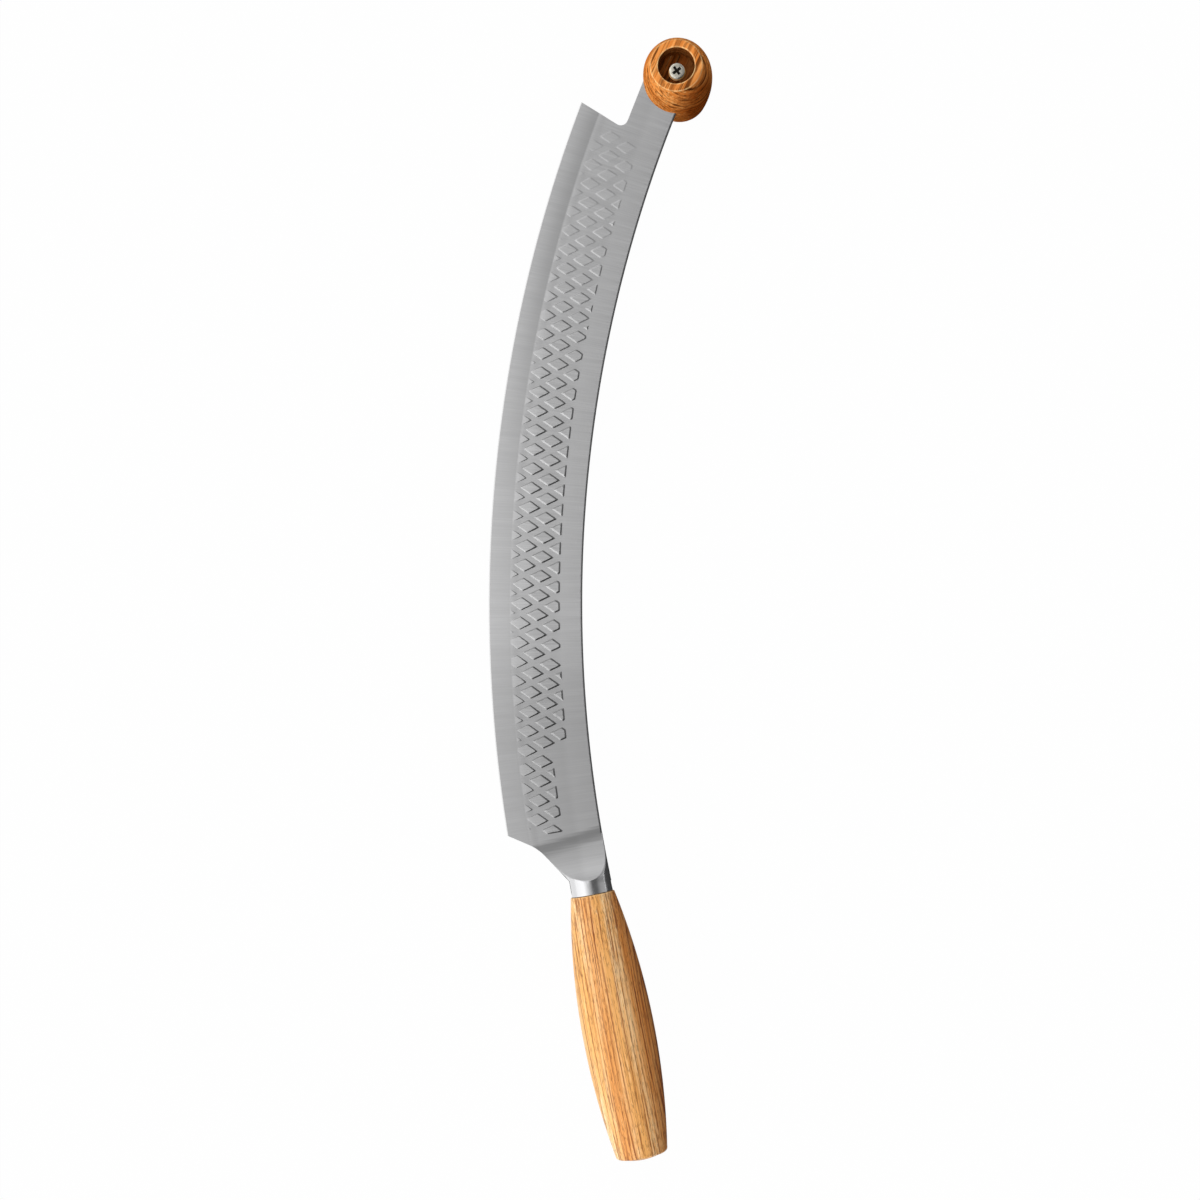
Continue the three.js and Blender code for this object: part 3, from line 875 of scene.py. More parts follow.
@dataclass(frozen=True)
class OiledOak:
    """Oiled oak with growth rings, rays, fibres and open pores, with painted shade on one side and
    in hollows, and painted highlights on its rims.

    Lengths are in millimetres where nothing else is said. A figure is a pair of repeats for each
    millimetre, along the grain and across it, and a share of more than one number is the response
    of a colour to such a figure.

    Attributes:
        axis: Axis that the piece is turned about.
        grain_turn: Direction of the grain in the plan.
        dip: Turn of the sheets about the grain.
        sheet: Share of the change across the grain that is left in depth; less is more upright.
        fineness: Fineness of the figure; higher values draw it finer.
        centre: A point of the turning axis, in metres.
        pith: Middle of the growth rings, from the turning centre, in metres.
        pale: Colour of the late wood.
        warm: Colour between the rings.
        dark: Colour of the porous early wood.
        heart_and_shade_side: Direction across the grain towards the side with painted shade and
            darker heart wood.
        heart_and_shade_start: Distance from the turning centre where that painted shade and heart
            wood begin.
        heart_and_shade_stops: Shares of painted shade and heart wood at places from its start to
            its end, each from 0 to 1.
        heart_and_shade_tone: Colour that the painted shade and heart wood multiply into the oak.
        gloss: Specular level of the oiled surface.
        hollow_radius: Radius of a hollow about the axis, whose walls take painted shade.
        hollow_top: Place of the mouth of that hollow along the axis, from the turning centre.
        hollow_shade_tone: Colour that the painted shade in the hollow multiplies into the oak.
        hollow_shade_blend: Lengths over which that painted shade fades at the wall, mouth and
            floor.
        rim_core: Share of a rim's width where the painted highlight is brightest.
        rim_fray: Response of the painted highlight to the fibres.
        cell_sheet: Share of the change across the grain that fibres and pores keep in depth.
        ring_rise: Part of a ring over which the early wood comes in.
        ring_fall: Part of a ring over which it goes.
        ray_span: Values of the fibres where the rays start, and where they are full.
        pore_span: Values of the noise where a pore opens, and where it is open.
        pore_crowd: Response of the pores to the early wood.
        grain_bump: Strength of the bump, and its height in metres.
    """

    name: str
    axis: TurnAxis
    grain_turn: float
    dip: float
    sheet: float
    fineness: float
    centre: Vector
    pith: Vector
    pale: Colour
    warm: Colour
    dark: Colour
    ray: Colour
    ray_share: float
    ring_pitch: float
    ring_wave: float
    roughness: float
    heart_and_shade_side: Vector
    heart_and_shade_start: float
    heart_and_shade_end: float
    heart_and_shade_stops: tuple[Pair, ...]
    heart_and_shade_wave: float
    heart_and_shade_tone: Colour
    gloss: float
    highlit_rims: tuple[HighlitRim, ...]
    hollow_radius: float
    hollow_top: float
    hollow_floor: float
    hollow_shade_tone: Colour = (0.28, 0.23, 0.2)
    hollow_shade_blend: tuple[float, float, float] = (0.2, 1.0, 0.5)
    rim_width: float = 0.7
    rim_core: float = 0.2
    rim_highlight_tone: Colour = linear(255, 214, 150)
    rim_fray: Response = (0.3, 0.6, 0.9, 0.3)
    wave_figure: Pair = (0.004, 0.1)
    fleck_figure: Pair = (0.008, 1.4)
    patch_figure: Pair = (0.012, 0.2)
    streak_figure: Pair = (0.004, 1.9)
    fibre_figure: Pair = (0.05, 2.2)
    pore_figure: Pair = (0.3, 2.6)
    cell_sheet: float = 0.7
    ring_rise: Pair = (0.0, 0.12)
    ring_fall: Pair = (0.6, 0.15)
    fleck_share: Pair = (0.34, 0.6)
    year_share: Response = (0.0, 1.0, 0.2, 1.0)
    patch_share: Pair = (0.36, 0.64)
    fibre_share: Response = (0.4, 0.66, 0.0, 0.8)
    ray_span: Pair = (0.42, 0.28)
    streak_share: Response = (0.53, 0.66, 0.0, 0.8)
    early_share: float = 0.9
    pore_share: float = 0.7
    pore_span: Pair = (0.55, 0.62)
    pore_crowd: Response = (0.0, 0.7, 0.6, 1.0)
    pore_tone: float = 0.45
    fibre_gloss: Response = (0.3, 0.7, -0.06, 0.1)
    fibre_height: float = 0.35
    pore_depth: float = 0.8
    grain_bump: Pair = (0.4, 0.08 * MM)

    def in_grain(self, bench: NodeBench) -> Socket:
        """Gives the place from the pith in millimetres, with the grain along X.

        Args:
            bench: Bench of the material.

        Returns:
            The place.
        """
        place = bench.place_in_mm(self.centre + self.pith)
        for angle, about in ((-self.grain_turn, "Z_AXIS"), (self.dip, "X_AXIS")):
            feeds = {"Vector": place, "Angle": angle}
            place = bench.add("ShaderNodeVectorRotate", feeds, rotation_type=about).outputs[0]
        return place

    def figure(self, bench: NodeBench, place: Socket, repeats: Pair, sheet: float) -> Socket:
        """Adds noise that is drawn out along the grain, with a share of it left in depth."""
        along, across = (self.fineness * count for count in repeats)
        return bench.noise(place, (along, across, across * sheet), detail=3.0)

    def out_from(self, bench: NodeBench, place: Socket, axis: TurnAxis) -> Socket:
        """Gives the distance of a place from an axis through its origin."""
        return bench.length(place, [float(number != axis.value) for number in range(3)])

    def about_axis(self, bench: NodeBench) -> tuple[Socket, Socket]:
        """Gives the distance from the turning axis and the place along it, in millimetres."""
        place = bench.place_in_mm(self.centre)
        return self.out_from(bench, place, self.axis), bench.parts(place)[self.axis.value]

    def early_wood(self, bench: NodeBench, place: Socket) -> Socket:
        """Draws the porous early wood of the growth rings.

        Args:
            bench: Bench of the material.
            place: Place from the pith with the grain along X, in millimetres.

        Returns:
            Share of early wood, from 0 to 1.
        """
        wave = self.figure(bench, place, self.wave_figure, self.sheet)
        out = self.out_from(bench, place, TurnAxis.ALONG_HANDLE)
        bent = bench.number("MULTIPLY_ADD", wave, self.ring_wave, out)
        turns = bench.number("DIVIDE", bent, self.ring_pitch)
        ring = bench.number("FRACT", turns)
        feeds = {"W": bench.number("FLOOR", turns)}
        year = bench.add("ShaderNodeTexWhiteNoise", feeds, noise_dimensions="1D").outputs["Value"]
        fleck = self.figure(bench, place, self.fleck_figure, self.sheet)
        return bench.product(
            bench.span(ring, *self.ring_rise),
            bench.span(ring, *self.ring_fall),
            bench.span(fleck, *self.fleck_share),
            bench.span(year, *self.year_share),
        )

    def heart_and_shade(self, bench: NodeBench, patch: Socket) -> Socket:
        """Draws the painted shade on one side, with bands of darker heart wood.

        Args:
            bench: Bench of the material.
            patch: Broad patches of colour, whose edges the painted shade and heart wood follow.

        Returns:
            Share of painted shade and heart wood.
        """
        depth = bench.dot(bench.place_in_mm(self.centre), self.heart_and_shade_side)
        drift = bench.number("MULTIPLY_ADD", patch, self.heart_and_shade_wave, depth)
        run = self.heart_and_shade_end - self.heart_and_shade_start
        first = self.heart_and_shade_start + self.heart_and_shade_wave / 2.0
        share = bench.number("MULTIPLY_ADD", drift, 1.0 / run, -first / run)
        return bench.ramp(share, self.heart_and_shade_stops)

    def hollow_shade(self, bench: NodeBench) -> Socket:
        """Draws the painted shade on the walls of the hollow.

        Args:
            bench: Bench of the material.

        Returns:
            Share of the painted shade.
        """
        out, lengthwise = self.about_axis(bench)
        wall, mouth, floor = self.hollow_shade_blend
        return bench.product(
            bench.span(out, self.hollow_radius, self.hollow_radius - wall),
            bench.span(lengthwise, self.hollow_top, self.hollow_top - mouth),
            bench.span(lengthwise, self.hollow_floor - 2.0 * floor, self.hollow_floor - floor),
        )

    def rim_highlights(self, bench: NodeBench) -> Socket:
        """Draws the stripes of painted highlight on the rims.

        Args:
            bench: Bench of the material.

        Returns:
            Share of the painted highlight.
        """
        out, lengthwise = self.about_axis(bench)
        stripes = []
        for rim in self.highlit_rims:
            aside = bench.number("SUBTRACT", out, rim.radius * PER_METRE)
            past = bench.number("SUBTRACT", lengthwise, rim.place * PER_METRE)
            gap = bench.add("ShaderNodeCombineXYZ", {0: aside, 1: past}).outputs[0]
            far = bench.length(gap, LEVEL)
            stripes.append(bench.span(far, self.rim_width, self.rim_core * self.rim_width))
        highlight = stripes[0]
        for stripe in stripes[1:]:
            highlight = bench.number("MAXIMUM", highlight, stripe)
        return highlight

    def material(self) -> bpy.types.Material:
        """Makes the material."""
        material, bench = new_material(self.name)
        place = self.in_grain(bench)
        patch = self.figure(bench, place, self.patch_figure, self.sheet)
        streak = self.figure(bench, place, self.streak_figure, self.sheet)
        fibre = self.figure(bench, place, self.fibre_figure, self.cell_sheet)
        pore = self.figure(bench, place, self.pore_figure, self.cell_sheet)
        early = self.early_wood(bench, place)
        crowd = bench.span(early, *self.pore_crowd)
        open_pore = bench.product(bench.span(pore, *self.pore_span), crowd)
        sunk = toned(self.dark, self.pore_tone)

        wood = bench.blend(bench.span(patch, *self.patch_share), self.pale, self.warm)
        wood = bench.blend(bench.span(fibre, *self.fibre_share), wood, self.warm)
        rays = bench.span(fibre, *self.ray_span, 0.0, self.ray_share)
        wood = bench.blend(rays, wood, self.ray)
        wood = bench.blend(bench.span(streak, *self.streak_share), wood, self.dark)
        wood = bench.blend(bench.product(early, self.early_share), wood, self.dark)
        wood = bench.blend(bench.product(open_pore, self.pore_share), wood, sunk)
        # Painted shade on the side away from the light, with darker bands of heart wood.
        wood = bench.blend(self.heart_and_shade(bench, patch), wood, self.heart_and_shade_tone, "MULTIPLY")
        # Painted shade on the walls of the hollow.
        wood = bench.blend(self.hollow_shade(bench), wood, self.hollow_shade_tone, "MULTIPLY")
        # Painted highlights on the rims, broken by the fibres.
        highlight = bench.product(self.rim_highlights(bench), bench.span(fibre, *self.rim_fray))
        wood = bench.blend(highlight, wood, self.rim_highlight_tone)

        raised = bench.product(fibre, self.fibre_height)
        level = bench.number("MULTIPLY_ADD", open_pore, -self.pore_depth, raised)
        bench.surface({
            "Base Color": wood,
            "Roughness": bench.vary(fibre, self.roughness, self.fibre_gloss),
            "Specular IOR Level": self.gloss,
            "Normal": bench.bump(level, *self.grain_bump),
        })
        return material


@dataclass(frozen=True)
class PlatedMetal:
    """Small plated metal part, clouded with tarnish, with painted shade in its hollows, and scuffed
    on its crown.

    Attributes:
        tarnish: Colour where the plating has dulled.
        middle: A point of the part's axis.
        hollow_below: Height below which a hollow near the axis takes painted shade.
        hollow_shade_tone: Share of the tarnish's colour that the painted shade in the hollow
            leaves.
        hollow_blend: Lengths over which the painted shade darkens down and inwards, in millimetres.
    """

    name: str
    tone: Colour
    tarnish: Colour
    roughness: float
    middle: Vector
    hollow_below: float
    hollow_radius: float
    hollow_shade_tone: float = 0.06
    hollow_blend: Pair = (0.2, 0.1)
    cloud_repeats: Repeats = (0.8, 0.8, 0.8)
    cloud_share: Response = (0.4, 0.7, 0.0, 0.45)
    scuff_repeats: Repeats = (6.0, 1.5, 3.0)
    scuff_gloss: Response = (0.3, 0.7, -0.06, 0.12)
    scuff_bump: Pair = (0.15, 0.03 * MM)

    def material(self) -> bpy.types.Material:
        """Makes the material."""
        material, bench = new_material(self.name)
        place = bench.place_in_mm(self.middle)
        cloud = bench.noise(place, self.cloud_repeats, detail=3.0)
        scuff = bench.noise(place, self.scuff_repeats, detail=3.0)
        below = (self.hollow_below - self.middle.z) * PER_METRE
        radius = self.hollow_radius * PER_METRE
        down, inwards = self.hollow_blend
        # Painted shade in the hollow near the axis: the screw's cross recess and the washer's hole.
        shaded_hollow = bench.product(
            bench.span(bench.parts(place)[2], below, below - down),
            bench.span(bench.length(place, LEVEL), radius, radius - inwards),
        )
        shade = toned(self.tarnish, self.hollow_shade_tone)
        metal = bench.blend(bench.span(cloud, *self.cloud_share), self.tone, self.tarnish)
        bench.surface({
            "Base Color": bench.blend(shaded_hollow, metal, shade),
            "Metallic": 1.0,
            "Roughness": bench.vary(scuff, self.roughness, self.scuff_gloss),
            "Normal": bench.bump(scuff, *self.scuff_bump),
        })
        return material


@dataclass(frozen=True)
class CuredAdhesive:
    """Cloudy cured adhesive, with small bubbles.

    Attributes:
        cloudy: Colour where air has clouded it.
        bubble_span: Values of the noise where a bubble starts, and where it is full.
    """

    tone: Colour = linear(216, 201, 160)
    cloudy: Colour = linear(232, 224, 196)
    cloud_repeats: Repeats = (0.25, 0.25, 0.25)
    cloud_share: Pair = (0.35, 0.65)
    cloud_gloss: Response = (0.3, 0.7, 0.3, 0.5)
    bubble_repeats: Repeats = (1.6, 1.6, 1.6)
    bubble_span: Pair = (0.62, 0.7)
    bubble_bump: Pair = (0.3, 0.1 * MM)

    def material(self) -> bpy.types.Material:
        """Makes the material."""
        material, bench = new_material("cured_adhesive")
        place = bench.place_in_mm((0.0, 0.0, 0.0))
        cloud = bench.noise(place, self.cloud_repeats, detail=4.0)
        bubble = bench.noise(place, self.bubble_repeats, detail=1.0)
        bench.surface({
            "Base Color": bench.blend(bench.span(cloud, *self.cloud_share), self.tone, self.cloudy),
            "Roughness": bench.span(cloud, *self.cloud_gloss),
            "Normal": bench.bump(bench.span(bubble, *self.bubble_span), *self.bubble_bump),
        })
        return material


@dataclass(frozen=True)
class Limit:
    """Straight limit of a relief pad.

    Attributes:
        outward: Unit vector that points out of the pad.
        point: A point of the limit.
        sloped: True where the pad falls off in a flank, false where it runs on level.
    """

    outward: Vector
    point: Vector
    sloped: bool = True

    def reach(self, place: Vector) -> float:
        """Gives the distance of a place inside the limit."""
        return self.outward.dot(self.point - place)


@dataclass
class ReliefPad:
    """One rounded pad of the diamond relief, kept inside its limits.

    Attributes:
        limits: Limits of the pad at its foot.
        turn: Direction of the first point of its rings.
        flank: Width of the flank, from foot to top.
        roundness: Higher values round the corners less.
        crown_start: Distance from the foot at which the top is level, in widths of the flank.
        crown_rings: Rings of the level top, as shares of its reach.
        rooted: Depth to which the foot goes into the blade.
        shelf_blend: Height over which the pad is rounded into the edge grind.
    """

    limits: list[Limit]
    turn: float
    flank: float = 0.62 * MM
    sides: int = 40
    roundness: float = 18.0
    flank_steps: int = 4
    crown_start: float = 1.2
    crown_rings: Pair = (1.0, 0.5)
    rooted: float = 0.05 * MM
    shelf_blend: float = 0.06 * MM

    @property
    def crown_inset(self) -> float:
        """Distance from the foot at which the top is level."""
        return self.crown_start * self.flank

    def corners(self, start: Sequence[Vector], inset: float) -> list[Vector]:
        """Clips an outline to the limits.

        Args:
            start: Corners of an outline that holds the pad.
            inset: Distance from the foot of the flank.

        Returns:
            The corners that are left.
        """
        kept = list(start)
        for limit in self.limits:
            clipped = []
            edge = inset if limit.sloped else 0.0
            for here, onward in zip(kept, kept[1:] + kept[:1]):
                inside, next_inside = limit.reach(here) - edge, limit.reach(onward) - edge
                if inside >= 0.0:
                    clipped.append(here)
                if inside * next_inside < 0.0:
                    clipped.append(here.lerp(onward, inside / (inside - next_inside)))
            kept = clipped
        return kept

    def outline(self, middle: Vector, inset: float) -> list[Vector]:
        """Draws the rounded outline of the pad at one level.

        Args:
            middle: A place well inside the pad.
            inset: Distance from the foot of the flank.

        Returns:
            The points of the outline.
        """
        points = []
        for side in range(self.sides):
            ray = heading(self.turn + FULL_TURN * side / self.sides)
            pull = 0.0
            for limit in self.limits:
                room = limit.reach(middle) - (inset if limit.sloped else 0.0)
                pull += max(limit.outward.dot(ray) / room, 0.0) ** self.roundness
            points.append(middle + ray / pull ** (1.0 / self.roundness))
        return points

    def draw(self, sketch: MeshSketch, start: Sequence[Vector], face: BladeFace, level: float,
             foot: float, top: float, shelf: Callable[[Vector], float]) -> None:
        """Draws the pad on one face of the blade.

        Args:
            sketch: Sketch that takes the pad.
            start: Corners of an outline that holds the pad.
            face: Face of the blade.
            level: Height of the middle plane of the blade.
            foot: Height of the flat side above the middle plane.
            top: Height of the pad's top above the middle plane.
            shelf: Height that the edge grind leaves at a place of the plan.
        """
        corners = self.corners(start, self.crown_inset)
        if len(corners) < 3:
            return
        middle = sum(corners, Vector((0.0, 0.0))) / len(corners)
        steps = [(-self.rooted, foot - self.rooted)]
        for step in range(self.flank_steps + 1):
            share = step / self.flank_steps
            steps.append((self.flank * share, foot + (top - foot) * smooth_step(share)))
        rows = [(self.outline(middle, inset), height) for inset, height in steps]
        crown = self.outline(middle, self.crown_inset)
        for share in self.crown_rings:
            rows.append(([middle.lerp(point, share) for point in crown], top))
        rows.append(([middle], top))
        rings = []
        for outline, height in rows:
            points = []
            for place in outline:
                ground = soft_minimum(height, shelf(place), self.shelf_blend)
                points.append(Vector((place.x, place.y, level + face.value * ground)))
            rings.append(sketch.ring(points))
        sketch.skin(rings)


@dataclass
class Blade:
    """Bowed blade with its arm, diamond relief and stick tang.

    The plan is a band of constant width bent about one centre and trimmed at heel, tip and arm.
    """

    seats: Seats

    # Plan.
    edge_radius: float = 590 * MM
    width: float = 39 * MM
    edge_length: float = 311 * MM
    bow_start: float = 15 * MM
    heel_reach: float = 15 * MM
    heel_rake: float = math.radians(32)
    ricasso_slope: float = math.radians(33)
    ricasso_bend: float = 20 * MM
    ricasso_foot: float = 6.8 * MM
    tip_rake: float = math.radians(12)
    notch_fillet: float = 3 * MM
    arm_width: float = 17.8 * MM
    arm_taper_lead: float = 6 * MM
    knob_reach: float = 22.4 * MM
    screw_margin: float = 4.6 * MM
    bolster_side: float = 8.5 * MM
    bolster_ring: float = 4 * MM
    shoulder_sink: float = 0.6 * MM
    axis_above_spine: float = 8.6 * MM

    # Section.
    half_spine: float = 1.0 * MM
    spine_round: float = 0.75 * MM
    edge_zone: float = 9 * MM
    half_edge: float = 0.76 * MM
    micro_bevel: float = 0.5 * MM
    cutting_flat: float = 0.06 * MM
    bevel_swell: float = 0.35
    land_rise: float = 0.06 * MM
    land_ramp: float = 4 * MM
    shelf_run: float = 9 * MM

    # Diamond relief and the place that it leaves bare.
    relief_height: float = 0.4 * MM
    spine_zone: float = 9.2 * MM
    pad_pitch: float = 8.05 * MM
    pad_spread: float = 13.95 * MM
    groove: float = 2.05 * MM
    lattice_turn: float = math.radians(1)
    lattice_along: float = 2.8 * MM
    lattice_across: float = -2.35 * MM
    pad_overhang: float = 3.4 * MM
    relief_tip_margin: float = 8.5 * MM
    relief_heel_reach: float = 2.2 * MM
    tip_fade: float = 205 * MM
    tip_relief: float = 0.12
    bare_length: float = 36 * MM
    bare_width: float = 15.6 * MM

    # Stick tang.
    tang_length: float = 72 * MM
    tang_width: float = 8 * MM
    tang_tip_width: float = 5 * MM

    # Mesh.
    overshoot: float = 5 * MM
    sweep_steps: int = 200
    curve_steps: int = 10
    crease: float = math.radians(24)

    @property
    def centre(self) -> Vector:
        """Centre of the bow in the plan."""
        start = Vector((self.bow_start, -self.spine_radius - self.axis_above_spine))
        return self.seats.joint.to_2d() + start

    @property
    def spine_radius(self) -> float:
        """Radius of the spine."""
        return self.edge_radius - self.width

    @property
    def land_radius(self) -> float:
        """Radius where the land ends and the edge bevel begins."""
        return self.edge_radius - self.edge_zone

    @property
    def pad_top(self) -> float:
        """Height of the pads' tops above the middle plane."""
        return self.half_spine + self.relief_height

    @property
    def heel_angle(self) -> float:
        """Angle of the heel past the start of the bow."""
        return self.heel_reach / self.edge_radius

    @property
    def tip_angle(self) -> float:
        """Angle of the tip past the start of the bow."""
        return (self.heel_reach + self.edge_length) / self.edge_radius

    @property
    def knob_angle(self) -> float:
        """Angle of the screw past the start of the bow."""
        return self.tip_angle + self.knob_reach / self.spine_radius

    def on_bow(self, radius: float, angle: float) -> Vector:
        """Gives a point of the plan from its radius and its angle past the start of the bow."""
        return self.centre + radius * heading(QUARTER_TURN - angle)

    def half_section(self) -> list[Vector]:
        """Draws half of the section, as (distance from the spine, height) points."""
        points = []
        for step in range(self.curve_steps + 1):
            angle = QUARTER_TURN * step / self.curve_steps
            out = self.spine_round * (1.0 - math.cos(angle))
            sunk = self.spine_round * (1.0 - math.sin(angle))
            points.append(Vector((out, self.half_spine - sunk)))
        ramp_start = self.width - self.edge_zone - self.land_ramp
        for step in range(self.curve_steps + 1):
            share = step / self.curve_steps
            rise = self.land_rise * smooth_step(share)
            points.append(Vector((ramp_start + self.land_ramp * share, self.half_spine + rise)))
        land, fine_edge = points[-1], Vector((self.width - self.micro_bevel, self.half_edge))
        for step in range(1, self.curve_steps + 1):
            share = step / self.curve_steps
            fall = share + self.bevel_swell * share * (share - 1.0)
            out = land.x + (fine_edge.x - land.x) * share
            points.append(Vector((out, land.y + (fine_edge.y - land.y) * fall)))
        points.append(Vector((self.width, self.cutting_flat)))
        return points

    def band(self) -> bpy.types.Mesh:
        """Sweeps the section along the bow."""
        near = self.half_section()
        loop = near + [Vector((out, -height)) for out, height in reversed(near)]
        start = (self.bolster_ring - self.bow_start - self.overshoot) / self.spine_radius
        end = self.knob_angle + (self.screw_margin + self.overshoot) / self.spine_radius
        sketch = MeshSketch()
        rings = []
        for step in range(self.sweep_steps + 1):
            angle = start + (end - start) * step / self.sweep_steps
            points = []
            for out, height in loop:
                place = self.on_bow(self.spine_radius + out, angle)
                points.append(Vector((place.x, place.y, self.seats.joint.z + height)))
            rings.append(sketch.ring(points))
        sketch.capped(rings)
        return sketch.mesh("swept_band")

    def plan(self) -> list[Vector]:
        """Draws the outline that trims the band: arm and nose, notch, tip, heel and ricasso."""
        joint = self.seats.joint.to_2d()
        below = self.spine_radius - self.overshoot
        beyond = self.edge_radius + self.overshoot
        tip = self.on_bow(self.edge_radius, self.tip_angle)
        heel = self.on_bow(self.edge_radius, self.heel_angle)
        foot = joint + Vector((self.ricasso_foot, self.bolster_side))

        tip_line = heading(QUARTER_TURN - self.tip_angle - self.tip_rake)
        arm_radius = self.spine_radius + self.arm_width
        arm_edge = self.on_bow(arm_radius, self.tip_angle)
        notch = crossing(tip, tip_line, arm_edge, heading(-self.tip_angle))
        heel_line = heading(QUARTER_TURN - self.heel_angle - self.heel_rake)
        knuckle = crossing(heel, heel_line, foot, heading(self.ricasso_slope))

        screw = self.seats.knob.to_2d()
        screw_radius = self.spine_radius + self.screw_margin
        shoulder = self.on_bow(arm_radius, self.knob_angle - self.arm_taper_lead / screw_radius)
        inward = screw - shoulder
        taper = math.atan2(inward.y, inward.x) + math.asin(self.screw_margin / inward.length)
        nose_start = -self.knob_angle - QUARTER_TURN
        nose_end = taper + QUARTER_TURN
        while nose_end < nose_start:
            nose_end += FULL_TURN

        outline = [joint + Vector((self.bolster_ring, -self.bolster_side - self.overshoot))]
        arm_end = QUARTER_TURN - self.knob_angle
        tip_end, heel_end = QUARTER_TURN - self.tip_angle, QUARTER_TURN - self.heel_angle
        outline += arc(self.centre, below, QUARTER_TURN, arm_end, self.sweep_steps)
        outline += arc(screw, self.screw_margin, nose_start, nose_end, self.curve_steps)
        outline.append(shoulder)
        outline += rounded_corner(arm_edge, notch, tip, self.notch_fillet, self.curve_steps)
        outline.append(tip + tip_line * self.overshoot)
        outline += arc(self.centre, beyond, tip_end, heel_end, self.sweep_steps)
        outline.append(heel + heel_line * self.overshoot)
        outline += rounded_corner(heel, knuckle, foot, self.ricasso_bend, self.curve_steps)
        outline.append(foot)
        outline.append(joint + Vector((self.bolster_ring, self.bolster_side - self.shoulder_sink)))
        return outline

    def tang(self) -> bpy.types.Mesh:
        """Draws the stick tang, tapering into the handle."""
        joint = self.seats.joint
        root, tip = self.tang_width / 2.0, self.tang_tip_width / 2.0
        front = self.bolster_ring + self.overshoot
        ends = [(front, root), (0.0, root), (-self.tang_length, tip)]
        outline = [joint.to_2d() + Vector((x, y)) for x, y in ends]
        outline += [joint.to_2d() + Vector((x, -y)) for x, y in reversed(ends)]
        return prism(outline, joint.z - self.half_spine, joint.z + self.half_spine, "stick_tang")

    def pad_limits(self, place: Vector, along: Vector, across: Vector) -> list[Limit]:
        """Gives the limits of the pad at one place of the lattice.

        Args:
            place: Middle of the lattice cell.
            along: Direction of the rows.
            across: Direction square to the rows.

        Returns:
            The four sides of the diamond and the limits of the band that it may meet.
        """
        half_pitch, half_spread = self.pad_pitch / 2.0, self.pad_spread / 2.0
        cell = half_pitch * half_spread / math.hypot(half_pitch, half_spread)
        limits = []
        for sign_along in (1.0, -1.0):
            for sign_across in (1.0, -1.0):
                side = sign_along * along / half_pitch + sign_across * across / half_spread
                outward = side.normalized()
                limits.append(Limit(outward, place + outward * (cell - self.groove / 2.0)))
        away = place - self.centre
        outward = away.normalized()
        angle = math.atan2(away.x, away.y)
        bare_end = self.heel_angle + self.bare_length / self.edge_radius
        zone = self.bare_width if angle < bare_end else self.spine_zone
        limits.append(Limit(-outward, self.centre + outward * (self.spine_radius + zone)))
        heel_end = self.on_bow(self.land_radius, self.relief_start)
        limits.append(Limit(-heading(-self.relief_start), heel_end))
        limits.append(Limit(outward, self.centre + outward * self.land_radius, sloped=False))
        return limits

    @property
    def relief_start(self) -> float:
        """Angle of the heel end of the relief past the start of the bow."""
        return self.heel_angle - self.relief_heel_reach / self.edge_radius

    def shelf(self, place: Vector) -> float:
        """Gives the height that the edge grind leaves at a place, above the middle plane."""
        inside = self.land_radius - (place - self.centre).length
        rise = (self.relief_height - self.land_rise) * inside / self.shelf_run
        return self.half_spine + self.land_rise + rise

    def relief_at(self, angle: float) -> float:
        """Gives the height of the relief past the start of the bow; it fades towards the tip."""
        left = (self.tip_angle - angle) * self.edge_radius / self.tip_fade
        return self.relief_height * (self.tip_relief + (1.0 - self.tip_relief) * smooth_step(left))

    def relief(self) -> bpy.types.Mesh:
        """Draws the staggered rows of pads on both faces."""
        heel = self.on_bow(self.edge_radius, self.heel_angle)
        tip = self.on_bow(self.edge_radius, self.tip_angle)
        chord = tip - heel
        turn = math.atan2(chord.y, chord.x) + self.lattice_turn
        along, across = heading(turn), heading(turn + QUARTER_TURN)
        start = (heel + tip) / 2.0 + along * self.lattice_along + across * self.lattice_across
        rows = math.ceil(self.edge_length / self.pad_pitch / 2.0)
        columns = math.ceil(2.0 * self.width / self.pad_spread)
        innermost = self.spine_radius + self.spine_zone - self.pad_overhang
        outermost = self.land_radius + self.pad_overhang
        first = self.relief_start - self.pad_overhang / self.edge_radius
        last = self.tip_angle - self.relief_tip_margin / self.edge_radius
        sketch = MeshSketch()
        for column in range(-columns, columns + 1):
            for row in range(-rows, rows + 1):
                stagger = row + (column % 2) / 2.0
                place = start + along * stagger * self.pad_pitch
                place += across * column * self.pad_spread / 2.0
                away = place - self.centre
                angle = math.atan2(away.x, away.y)
                if not innermost <= away.length <= outermost or not first <= angle <= last:
                    continue
                cell = [place + along * self.pad_pitch, place + across * self.pad_spread]
                cell += [2.0 * place - corner for corner in cell]
                pad = ReliefPad(self.pad_limits(place, along, across), turn)
                top = self.half_spine + self.relief_at(angle)
                level = self.seats.joint.z
                for face in BladeFace:
                    pad.draw(sketch, cell, face, level, self.half_spine, top, self.shelf)
        return sketch.mesh("diamond_relief")

    def steel(self) -> BrushedSteel:
        """Gives the finish of the blade."""
        middle = Vector((self.centre.x, self.centre.y, self.seats.joint.z))
        return BrushedSteel(
            bow_centre=middle,
            bow_radius=self.edge_radius,
            face=self.half_spine * PER_METRE,
            crest=self.pad_top * PER_METRE,
            lattice=(self.spine_radius + self.spine_zone) * PER_METRE,
            land=self.land_radius * PER_METRE,
            keen=(self.edge_radius - self.micro_bevel) * PER_METRE,
        )

